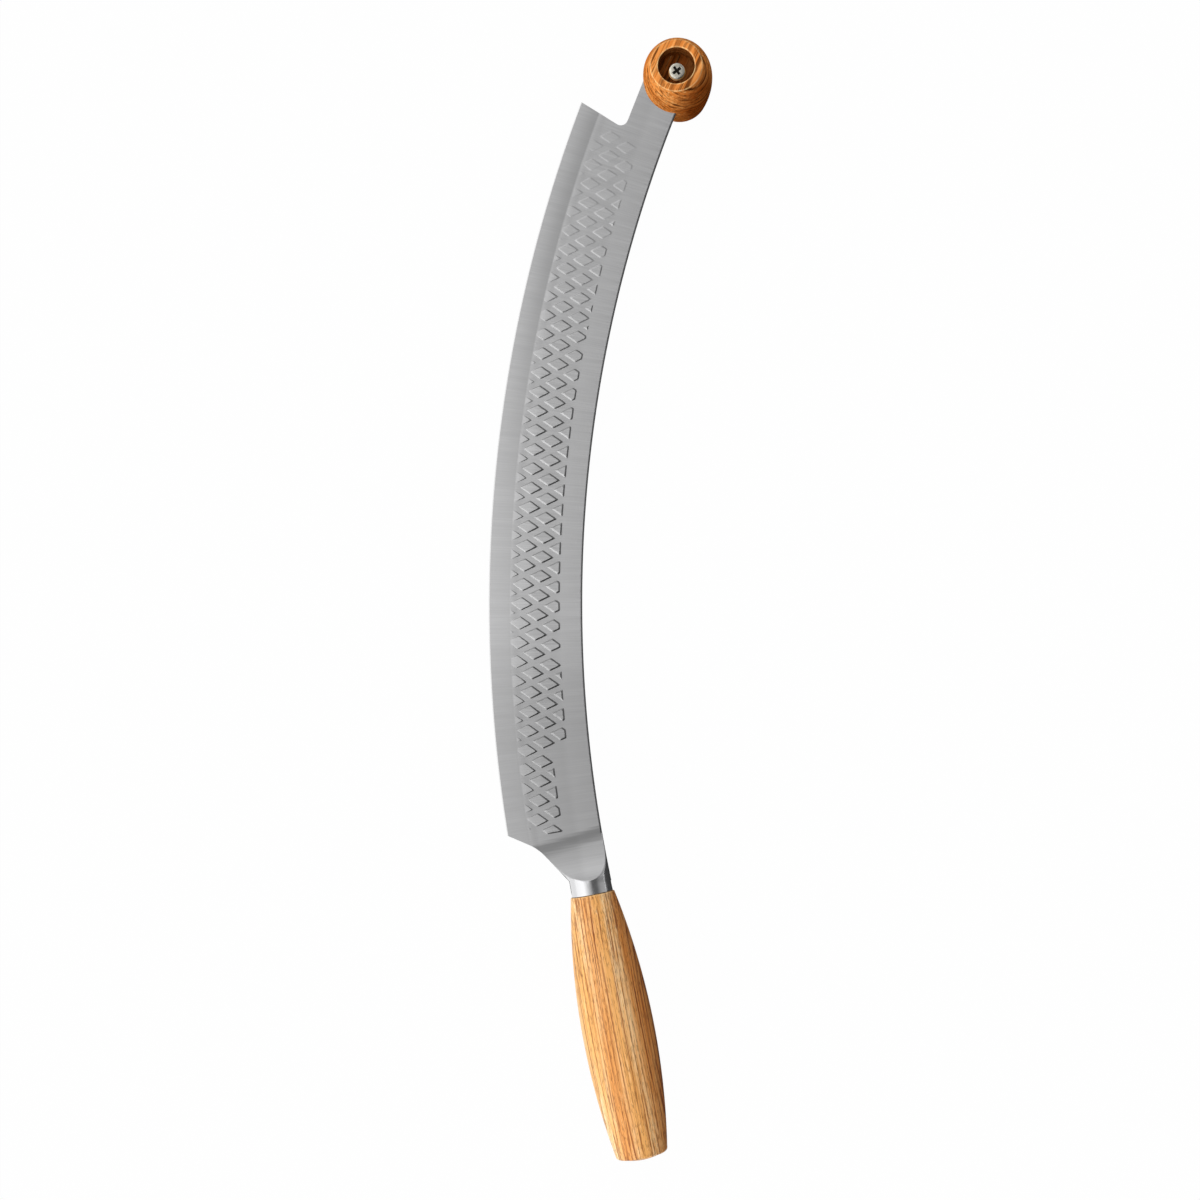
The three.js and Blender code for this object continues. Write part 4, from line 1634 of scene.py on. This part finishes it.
    def build(self) -> bpy.types.Object:
        """Builds and dresses the blade."""
        level = self.seats.joint.z
        reach = self.pad_top + self.overshoot
        cutter = prism(self.plan(), level - reach, level + reach, "blade_plan")
        trimmed = cut_mesh(self.band(), cutter, Cut.KEEP_INSIDE)
        mesh = joined([trimmed, self.tang(), self.relief()], "bowed_blade")
        finish = self.steel().material()
        return stand(mesh, "bowed_blade", "blade", finish, self.crease)


@dataclass
class Bolster:
    """Round polished collar whose two coves run down to the flats of the ricasso.

    The stations crowd towards the wood, and the two powers shape the flare there and the cove.
    """

    blade: Blade
    end_radius: float = 8.6 * MM
    end_round: float = 0.2 * MM
    waist_radius: float = 8.5 * MM
    ring: float = 4 * MM
    tongue: float = 6 * MM
    cove_end: float = 24 * MM
    sunk: float = 0.03 * MM
    crest_blend: float = 0.3 * MM
    polish_blend: float = 0.25 * MM
    flush: float = 0.04 * MM
    flare_power: int = 2
    cove_power: int = 3
    stations: int = 90
    station_crowding: float = 1.4
    sides: int = 64
    crease: float = math.radians(40)

    def collar(self, along: float) -> float:
        """Gives the radius of the round collar at a distance from the wood."""
        share = min(along / self.ring, 1.0)
        flare = (self.end_radius - self.waist_radius) * (1.0 - share) ** self.flare_power
        rounding = max(self.end_round - along, 0.0)
        eased = math.sqrt(self.end_round ** 2 - rounding ** 2) - self.end_round
        return self.waist_radius + flare + eased

    def reach(self, along: float, side: float) -> float:
        """Gives the half width towards the cutting edge or towards the spine.

        Args:
            along: Distance from the wood.
            side: Positive towards the cutting edge.

        Returns:
            The half width.
        """
        if side > 0.0:
            flare = max(along - self.blade.ricasso_foot, 0.0) * math.tan(self.blade.ricasso_slope)
            return self.collar(along) + flare
        sag = (along - self.blade.bow_start) ** 2 / (2.0 * self.blade.spine_radius)
        spine = self.blade.axis_above_spine + sag + self.flush
        held = smooth_step((along - self.ring) / self.ring)
        return self.collar(along) + (spine - self.collar(along)) * held

    def cove(self, along: float) -> float:
        """Gives the height of the cove above the middle plane at a distance from the wood."""
        share = max(self.cove_end - along, 0.0) / (self.cove_end - self.tongue)
        base = self.blade.half_spine - self.sunk
        return base + (self.waist_radius - base) * share ** self.cove_power

    def build(self) -> bpy.types.Object:
        """Builds and dresses the bolster."""
        joint = self.blade.seats.joint
        sketch = MeshSketch()
        polish: list[float] = []
        rings = []
        for station in range(self.stations + 1):
            along = self.cove_end * (station / self.stations) ** self.station_crowding
            cove = self.cove(along)
            near = []
            shine = []
            for side in range(self.sides + 1):
                sine = math.sin(math.pi * (side / self.sides - 0.5))
                half = self.reach(along, sine)
                round_height = half * math.sqrt(max(1.0 - sine * sine, 0.0))
                height = max(soft_minimum(cove, round_height, self.crest_blend), 0.0)
                near.append(Vector((along, half * sine, height)))
                shine.append(smooth_step(0.5 + (cove - round_height) / self.polish_blend / 2.0))
            far = [Vector((x, y, -z)) for x, y, z in near[-2:0:-1]]
            rings.append(sketch.ring(joint + point for point in near + far))
            polish += shine + shine[-2:0:-1]
        sketch.capped(rings)
        mesh = sketch.mesh("bolster")
        finish = CollarSteel(self.blade.steel())
        layer = mesh.attributes.new(finish.polish_layer, "FLOAT", "POINT")
        layer.data.foreach_set("value", polish)
        return stand(mesh, "bolster_collar", "bolster", finish.material(),
                     self.crease)


@dataclass
class Handle:
    """Turned oak handle: an arched barrel with a domed butt, bored for the tang."""

    seats: Seats
    gap: float = 0.15 * MM
    length: float = 110 * MM
    front_radius: float = 9.1 * MM
    front_round: float = 0.35 * MM
    belly_radius: float = 14.9 * MM
    belly_place: float = 58 * MM
    butt_dome: float = 1.6 * MM
    butt_round: float = 2 * MM
    bore_radius: float = 5.3 * MM
    bore_depth: float = 78 * MM
    hollow_shade_margin: float = 0.3 * MM
    sides: int = 160
    barrel_steps: int = 72
    curve_steps: int = 10
    crease: float = math.radians(40)

    @property
    def arch(self) -> float:
        """Radius of the arch of the barrel."""
        swell = self.belly_radius - self.front_radius
        return (self.belly_place ** 2 + swell ** 2) / (2.0 * swell)

    @property
    def barrel_end(self) -> float:
        """Distance of the end of the arched barrel from its front."""
        return self.length - self.butt_dome - self.butt_round

    @property
    def rim_radius(self) -> float:
        """Radius of the barrel where the rounding of the butt begins."""
        at_end = self.barrel_end - self.belly_place
        return self.belly_radius - self.arch + math.sqrt(self.arch ** 2 - at_end ** 2)

    def profile(self) -> list[Vector]:
        """Draws the profile from the middle of the butt round to the end of the bore."""
        arch, barrel_end, end_radius = self.arch, self.barrel_end, self.rim_radius
        centre = Vector((self.belly_radius - arch, -self.belly_place))
        at_end = barrel_end - self.belly_place
        rim = end_radius - self.butt_round
        dome = self.butt_dome - self.length
        first = -math.asin(at_end / arch)
        last = math.asin((self.belly_place - self.front_round) / arch)
        points = bend((0.0, -self.length), (rim / 2.0, -self.length), (rim, dome), self.curve_steps)
        butt_end = (end_radius, -barrel_end)
        points += bend((rim, dome), (end_radius, dome), butt_end, self.curve_steps)[1:]
        points += arc(centre, arch, first, last, self.barrel_steps)[1:]
        shoulder = points[-1]
        lip = (self.front_radius - self.front_round, 0.0)
        points += bend(shoulder, (self.front_radius, 0.0), lip, self.curve_steps)[1:]
        points += [Vector((self.bore_radius, 0.0)), Vector((self.bore_radius, -self.bore_depth))]
        points.append(Vector((0.0, -self.bore_depth)))
        return points

    def oak(self) -> OiledOak:
        """Gives the finish of the handle."""
        return OiledOak(
            name="handle_oak",
            axis=TurnAxis.ALONG_HANDLE,
            grain_turn=0.0,
            dip=0.0,
            sheet=0.15,
            fineness=1.0,
            centre=self.seats.joint,
            pith=Vector((0.0, 120.0, -12.0)) * MM,
            pale=linear(250, 218, 168),
            warm=linear(234, 176, 104),
            dark=linear(138, 74, 26),
            ray=linear(252, 220, 172),
            ray_share=0.5,
            ring_pitch=1.6,
            ring_wave=5.0,
            roughness=0.42,
            # Painted shade towards the spine side, with darker bands of heart wood.
            heart_and_shade_side=Vector((0.0, -1.0, 0.0)),
            heart_and_shade_start=-15.0,
            heart_and_shade_end=15.0,
            heart_and_shade_stops=(
                (0.0, 0.0), (0.2, 0.02), (0.33, 0.52), (0.45, 0.45),
                (0.56, 0.14), (0.7, 0.26), (0.8, 0.72), (1.0, 0.86),
            ),
            heart_and_shade_wave=5.0,
            heart_and_shade_tone=(0.68, 0.35, 0.06),
            gloss=0.3,
            # Painted highlights on the front rim and the butt rim.
            highlit_rims=(
                HighlitRim(self.front_radius, 0.0),
                HighlitRim(self.rim_radius, self.butt_dome - self.length),
            ),
            # Painted shade inside the bore.
            hollow_radius=(self.bore_radius + self.hollow_shade_margin) * PER_METRE,
            hollow_top=-self.gap * PER_METRE,
            hollow_floor=-(self.gap + self.bore_depth) * PER_METRE,
        )

    def build(self) -> bpy.types.Object:
        """Builds and dresses the handle."""
        sketch = MeshSketch()
        foot = self.seats.joint - Vector((self.gap, 0.0, 0.0))
        turned(sketch, self.profile(), TurnAxis.ALONG_HANDLE, foot, self.sides)
        return stand(sketch.mesh("handle"), "turned_handle", "handle",
                     self.oak().material(), self.crease)


@dataclass
class FrontKnob:
    """Turned oak knob with a screw well in its near face."""

    seats: Seats
    belly_radius: float = 14.35 * MM
    belly_rise: float = 4.4 * MM
    near_height: float = 23.6 * MM
    far_height: float = 25.6 * MM
    near_radius: float = 10.9 * MM
    far_radius: float = 11.7 * MM
    near_bend: float = 0.67
    far_bend: float = 0.38
    edge: float = 0.8 * MM
    well_radius: float = 7.5 * MM
    well_depth: float = 11.7 * MM
    well_rim: float = 0.5 * MM
    well_foot: float = 0.8 * MM
    pilot_radius: float = 1.7 * MM
    pilot_depth: float = 25.5 * MM
    hollow_shade_margin: float = 0.3 * MM
    sides: int = 144
    curve_steps: int = 24
    edge_steps: int = 6
    crease: float = math.radians(40)

    @property
    def well_floor(self) -> float:
        """Height of the well's floor above the plane of the blade."""
        return self.near_height - self.well_depth

    def profile(self) -> list[Vector]:
        """Draws the profile from the far face round to the end of the pilot hole."""
        near_pull = self.belly_rise + (self.near_height - self.belly_rise) * self.near_bend
        far_pull = self.belly_rise - (self.far_height + self.belly_rise) * self.far_bend
        belly = (self.belly_radius, self.belly_rise)
        far_edge = (self.far_radius, self.edge - self.far_height)
        near_edge = (self.near_radius, self.near_height - self.edge)
        near_lip = (self.near_radius - self.edge, self.near_height)
        far_lip = (self.far_radius - self.edge, -self.far_height)
        rim_out = (self.well_radius + self.well_rim, self.near_height)
        rim_in = (self.well_radius, self.near_height - self.well_rim)
        floor = self.well_floor
        wall_foot = (self.well_radius, floor + self.well_foot)
        floor_edge = (self.well_radius - self.well_foot, floor)
        points = [Vector((0.0, -self.far_height))]
        points += bend(far_lip, (self.far_radius, -self.far_height), far_edge, self.edge_steps)
        points += bend(far_edge, (self.belly_radius, far_pull), belly, self.curve_steps)[1:]
        points += bend(belly, (self.belly_radius, near_pull), near_edge, self.curve_steps)[1:]
        near_corner = (self.near_radius, self.near_height)
        points += bend(near_edge, near_corner, near_lip, self.edge_steps)[1:]
        points += bend(rim_out, (self.well_radius, self.near_height), rim_in, self.edge_steps)
        points += bend(wall_foot, (self.well_radius, floor), floor_edge, self.edge_steps)
        pilot_end = floor - self.pilot_depth
        pilot = [(self.pilot_radius, floor), (self.pilot_radius, pilot_end), (0.0, pilot_end)]
        return points + [Vector(corner) for corner in pilot]

    def oak(self) -> OiledOak:
        """Gives the finish of the knob."""
        return OiledOak(
            name="knob_oak",
            axis=TurnAxis.UPRIGHT,
            grain_turn=math.radians(-36),
            dip=math.radians(51),
            sheet=0.2,
            fineness=0.5,
            centre=self.seats.knob,
            pith=Vector((22.0, 31.0, -46.0)) * MM,
            pale=linear(240, 162, 88),
            warm=linear(214, 124, 52),
            dark=linear(66, 26, 6),
            ray=linear(252, 200, 130),
            ray_share=0.7,
            ring_pitch=2.4,
            ring_wave=8.0,
            roughness=0.42,
            # Painted shade on the side of the knob away from the light.
            heart_and_shade_side=Vector((-0.827, -0.558, 0.0)),
            heart_and_shade_start=0.0,
            heart_and_shade_end=13.0,
            heart_and_shade_stops=((0.0, 0.0), (0.6, 0.2), (0.8, 0.45), (1.0, 1.0)),
            heart_and_shade_wave=2.0,
            heart_and_shade_tone=(0.36, 0.25, 0.16),
            gloss=0.0,
            # Painted highlights on the rims of the faces and of the well.
            highlit_rims=(
                HighlitRim(self.near_radius, self.near_height),
                HighlitRim(self.well_radius, self.near_height),
                HighlitRim(self.far_radius, -self.far_height),
            ),
            # Painted shade on the walls of the screw well.
            hollow_radius=(self.well_radius + self.hollow_shade_margin) * PER_METRE,
            hollow_top=self.near_height * PER_METRE,
            hollow_floor=self.well_floor * PER_METRE,
        )

    def build(self) -> bpy.types.Object:
        """Builds and dresses the knob."""
        sketch = MeshSketch()
        turned(sketch, self.profile(), TurnAxis.UPRIGHT, self.seats.knob, self.sides)
        return stand(sketch.mesh("knob"), "turned_front_knob", "front_knob",
                     self.oak().material(), self.crease, mirrored=False)


@dataclass
class KnobFixing:
    """Screw and washer at the bottom of the knob's well."""

    knob: FrontKnob
    gap: float = 0.15 * MM
    washer_radius: float = 3.5 * MM
    washer_thickness: float = 0.8 * MM
    washer_round: float = 0.2 * MM
    hole_radius: float = 1.7 * MM
    shank_radius: float = 1.5 * MM
    screw_length: float = 27 * MM
    point_length: float = 4 * MM
    head_radius: float = 3.1 * MM
    head_height: float = 2.2 * MM
    head_crown: float = 0.3 * MM
    crown_pull: float = 0.95
    recess_width: float = 1.25 * MM
    recess_span: float = 4.3 * MM
    recess_depth: float = 1.3 * MM
    recess_taper: float = 0.72
    recess_shade: float = 0.25 * MM
    recess_turn: float = math.radians(25)
    sides: int = 72
    curve_steps: int = 12
    crease: float = math.radians(40)

    @property
    def washer_seat(self) -> float:
        """Height of the washer's underside above the plane of the blade."""
        return self.knob.well_floor + self.gap

    @property
    def head_seat(self) -> float:
        """Height of the underside of the screw's head."""
        return self.washer_seat + self.washer_thickness + self.gap

    @property
    def crown(self) -> float:
        """Height of the top of the screw's head."""
        return self.head_seat + self.head_height

    def washer(self) -> bpy.types.Object:
        """Builds and dresses the washer."""
        low, high = self.washer_seat, self.washer_seat + self.washer_thickness
        outer, easing = self.washer_radius, self.washer_round
        profile = [Vector((self.hole_radius, low))]
        steps = self.curve_steps
        profile += bend((outer - easing, low), (outer, low), (outer, low + easing), steps)
        profile += bend((outer, high - easing), (outer, high), (outer - easing, high), steps)
        profile += [Vector((self.hole_radius, high)), Vector((self.hole_radius, low))]
        sketch = MeshSketch()
        turned(sketch, profile, TurnAxis.UPRIGHT, self.knob.seats.knob, self.sides)
        finish = PlatedMetal(
            name="washer_brass",
            tone=linear(206, 150, 82),
            tarnish=linear(150, 98, 48),
            roughness=0.34,
            middle=self.knob.seats.knob,
            hollow_below=self.knob.seats.knob.z + high,
            hollow_radius=self.hole_radius,
        )
        return stand(sketch.mesh("washer"), "screw_washer", "knob_washer",
                     finish.material(), self.crease, mirrored=False)

    def recess(self, turn: float) -> bpy.types.Mesh:
        """Draws one arm of the cross recess.

        Args:
            turn: Direction of the arm.

        Returns:
            The tapered body that cuts it.
        """
        sketch = MeshSketch()
        rings = []
        depth = self.recess_depth
        for share, height in ((self.recess_taper, -depth), (1.0, 0.0), (1.0, depth)):
            span, width = share * self.recess_span / 2.0, share * self.recess_width / 2.0
            corners = [(span, width), (-span, width), (-span, -width), (span, -width)]
            base = self.knob.seats.knob + Vector((0.0, 0.0, self.crown + height))
            turning = Matrix.Rotation(turn, 3, "Z")
            rings.append(sketch.ring(base + turning @ Vector((x, y, 0.0)) for x, y in corners))
        sketch.capped(rings)
        return sketch.mesh("recess_arm")

    def screw(self) -> bpy.types.Object:
        """Builds and dresses the screw."""
        end = self.head_seat - self.screw_length
        head, crown = self.head_radius, self.crown
        profile = [Vector((0.0, end)), Vector((self.shank_radius, end + self.point_length))]
        profile += [Vector((self.shank_radius, self.head_seat)), Vector((head, self.head_seat))]
        dome_foot = (head, crown - self.head_crown)
        pull = (self.crown_pull * head, crown)
        profile += bend(dome_foot, pull, (0.0, crown), self.curve_steps)
        sketch = MeshSketch()
        turned(sketch, profile, TurnAxis.UPRIGHT, self.knob.seats.knob, self.sides)
        mesh = sketch.mesh("screw_body")
        for turn in (self.recess_turn, self.recess_turn + QUARTER_TURN):
            mesh = cut_mesh(mesh, self.recess(turn), Cut.TAKE_AWAY)
        finish = PlatedMetal(
            name="screw_nickel",
            tone=linear(248, 244, 230),
            tarnish=linear(186, 176, 154),
            roughness=0.4,
            middle=self.knob.seats.knob,
            hollow_below=self.knob.seats.knob.z + crown - self.recess_shade,
            hollow_radius=self.recess_span / 2.0,
        )
        return stand(mesh, "cross_head_screw", "knob_screw", finish.material(),
                     self.crease, mirrored=False)


@dataclass
class Studio:
    """Pale floor, soft light from the side of the cutting edge, and the camera of the picture."""

    seats: Seats
    blade: Blade

    # Floor.
    floor_size: float = 8.0
    floor_gap: float = 0.1 * MM
    floor_glow: float = 0.985
    floor_grey: float = 0.5

    # Camera.
    lens: float = 72.0
    sensor: float = 36.0
    clip_end: float = 32.0
    distance: float = 994.8 * MM
    azimuth: float = math.radians(-44.2)
    elevation: float = math.radians(85.62)
    up_heading: float = math.radians(-10.86)
    aim: Vector = Vector((3.57, 15.62, 25.6)) * MM

    # Sky: its light from the far side to the side of the cutting edge, and what is added to it.
    light_heading: float = math.radians(96)
    light_stops: tuple[Pair, ...] = (
        (0.0, 0.35), (0.08, 0.28), (0.2, 0.1), (0.4, 0.09), (0.5, 0.36), (0.6, 0.52),
        (0.7, 0.75), (0.78, 1.0), (0.86, 1.0), (0.93, 0.97), (1.0, 0.9),
    )
    far_heading: float = math.radians(15)
    far_span: Pair = (0.3, 0.95)
    far_glow: float = 0.35
    sky_peak: float = 1.35
    shade_heading: float = math.radians(-159)
    shade_span: Pair = (0.35, 0.75)
    shade_depth: float = 0.1

    # Softboxes.
    box_size: float = 1.5
    box_distance: float = 1.8
    key_heading: float = math.radians(100)
    key_elevation: float = math.radians(90)
    key_power: float = 16.5
    side_heading: float = math.radians(148)
    side_elevation: float = math.radians(24)
    side_power: float = 15.0

    # Dark card along the spine, and its strip beside the bolster.
    card_grey: float = 0.06
    card_width: float = 400 * MM
    card_start: float = -0.5
    card_end: float = 0.8
    card_steps: int = 60
    card_lift: float = 0.2 * MM
    strip_length: float = 20 * MM
    strip_start: float = 6 * MM
    strip_end: float = 24 * MM

    def white_for_rays(self, bench: NodeBench) -> Socket:
        """Adds up the rays that see the white background: camera, glossy and transmission rays."""
        path = bench.add("ShaderNodeLightPath").outputs
        seen = bench.number("MAXIMUM", path["Is Camera Ray"], path["Is Glossy Ray"])
        return bench.number("MAXIMUM", seen, path["Is Transmission Ray"])

    def floor(self) -> bpy.types.Object:
        """Lays the pale floor, which keeps the shadow of the knife."""
        half = self.floor_size / 2.0
        sketch = MeshSketch()
        corners = [(half, half), (-half, half), (-half, -half), (half, -half)]
        level = self.seats.floor - self.floor_gap
        sketch.lid(sketch.ring(Vector((x, y, level)) for x, y in corners))
        mesh = sketch.mesh("floor")
        material, bench = new_material("pale_floor")
        paper = bench.add("ShaderNodeBsdfDiffuse", {"Color": toned(WHITE, self.floor_grey)})
        glow = bench.add("ShaderNodeEmission", {"Color": WHITE, "Strength": 1.0})
        share = bench.number("MULTIPLY", self.white_for_rays(bench), self.floor_glow)
        feeds = {0: share, 1: paper.outputs[0], 2: glow.outputs[0]}
        mixed = bench.add("ShaderNodeMixShader", feeds)
        bench.add("ShaderNodeOutputMaterial", {"Surface": mixed.outputs[0]})
        mesh.materials.append(material)
        floor = new_object("floor", mesh)
        return floor

    def sky(self) -> None:
        """Lights the room from all sides, more from the side of the cutting edge."""
        world = bpy.data.worlds.new("studio")
        world.use_nodes = True
        bpy.context.scene.world = world
        bench = NodeBench(world.node_tree)
        direction = bench.add("ShaderNodeTexCoord").outputs["Generated"]
        lean, depth, back = (
            bench.dot(direction, heading(towards).to_3d())
            for towards in (self.light_heading, self.far_heading, self.shade_heading)
        )
        glow = bench.ramp(bench.number("MULTIPLY_ADD", lean, 0.5, 0.5), self.light_stops)
        far = bench.span(depth, *self.far_span, 0.0, self.far_glow)
        darkest = self.sky_peak * self.shade_depth
        shade = bench.span(back, *self.shade_span, self.sky_peak, darkest)
        level = bench.number("MULTIPLY_ADD", glow, shade, far)
        light = bench.add("ShaderNodeBackground", {"Color": WHITE, "Strength": level})
        bench.add("ShaderNodeOutputWorld", {"Surface": light.outputs[0]})

    def softbox(self, name: str, towards: float, elevation: float,
                power: float) -> bpy.types.Object:
        """Hangs a softbox, which the metal does not mirror.

        Args:
            name: Name of the softbox.
            towards: Direction of the softbox in the plan.
            elevation: Angle of the softbox above the floor.
            power: Power in watts.

        Returns:
            The softbox.
        """
        lamp = bpy.data.lights.new(name, "AREA")
        lamp.shape = "SQUARE"
        lamp.size = self.box_size
        lamp.energy = power
        direction = skyward(towards, elevation)
        box = new_object(name, lamp)
        box.location = self.aim + direction * self.box_distance
        box.rotation_mode = "QUATERNION"
        box.rotation_quaternion = (-direction).to_track_quat("-Z", "Y")
        box.visible_glossy = False
        return box

    def dark_card(self) -> bpy.types.Object:
        """Lays the dark card and its strip, which only metal and gloss mirror."""
        inner = self.blade.spine_radius + self.blade.screw_margin
        borders = []
        for radius in (inner, inner - self.card_width):
            start, end = QUARTER_TURN - self.card_start, QUARTER_TURN - self.card_end
            borders.append(arc(self.blade.centre, radius, start, end, self.card_steps))
        height = Vector((0.0, 0.0, self.seats.floor + self.card_lift))
        sketch = MeshSketch()
        sketch.lid(sketch.ring(place.to_3d() + height for place in borders[0] + borders[1][::-1]))
        near, far, run = self.strip_start, self.strip_end, self.strip_length
        joint = self.seats.joint.to_2d()
        corners = ((0.0, near), (run, near), (run, far), (0.0, far))
        strip = [joint + Vector(corner) for corner in corners]
        sketch.lid(sketch.ring(place.to_3d() + height for place in strip))
        mesh = sketch.mesh("dark_card")
        material, bench = new_material("dark_card")
        matte = bench.add("ShaderNodeBsdfDiffuse", {"Color": toned(WHITE, self.card_grey)})
        bench.add("ShaderNodeOutputMaterial", {"Surface": matte.outputs[0]})
        mesh.materials.append(material)
        card = new_object("dark_card", mesh)
        card.visible_camera = False
        card.visible_diffuse = False
        card.visible_shadow = False
        return card

    def camera(self) -> bpy.types.Object:
        """Sets up the camera at the viewing angle of the photograph."""
        data = bpy.data.cameras.new("camera")
        data.lens = self.lens
        data.sensor_width = self.sensor
        data.clip_end = self.clip_end
        back = skyward(self.azimuth - QUARTER_TURN, self.elevation)
        upward = heading(self.up_heading).to_3d()
        upward = (upward - back * upward.dot(back)).normalized()
        turning = Matrix((upward.cross(back), upward, back)).transposed().to_4x4()
        camera = new_object("camera", data)
        camera.matrix_world = Matrix.Translation(self.aim + back * self.distance) @ turning
        bpy.context.scene.camera = camera
        return camera

    def build(self) -> None:
        """Builds the floor, the light and the camera."""
        self.floor()
        self.sky()
        self.softbox("key_softbox", self.key_heading, self.key_elevation, self.key_power)
        self.softbox("side_softbox", self.side_heading, self.side_elevation, self.side_power)
        self.dark_card()
        self.camera()
        bpy.context.scene.view_settings.view_transform = "Standard"
        log.info("studio stands")


def dress_adhesive() -> None:
    """Gives the CAD node of the adhesive inside the handle its finish."""
    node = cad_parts["tang_adhesive"]
    node.data.materials.clear()
    node.data.materials.append(CuredAdhesive().material())
    log.info("tang_adhesive keeps its solid")


def main() -> None:
    """Builds every piece of the knife and the studio round it."""
    logging.basicConfig(level=logging.INFO, format="%(name)s: %(message)s")
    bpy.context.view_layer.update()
    seats = Seats.from_frame()
    blade = Blade(seats)
    blade.build()
    Bolster(blade).build()
    Handle(seats).build()
    dress_adhesive()
    knob = FrontKnob(seats)
    knob.build()
    fixing = KnobFixing(knob)
    fixing.washer()
    fixing.screw()
    Studio(seats, blade).build()


if __name__ == "__main__":
    main()
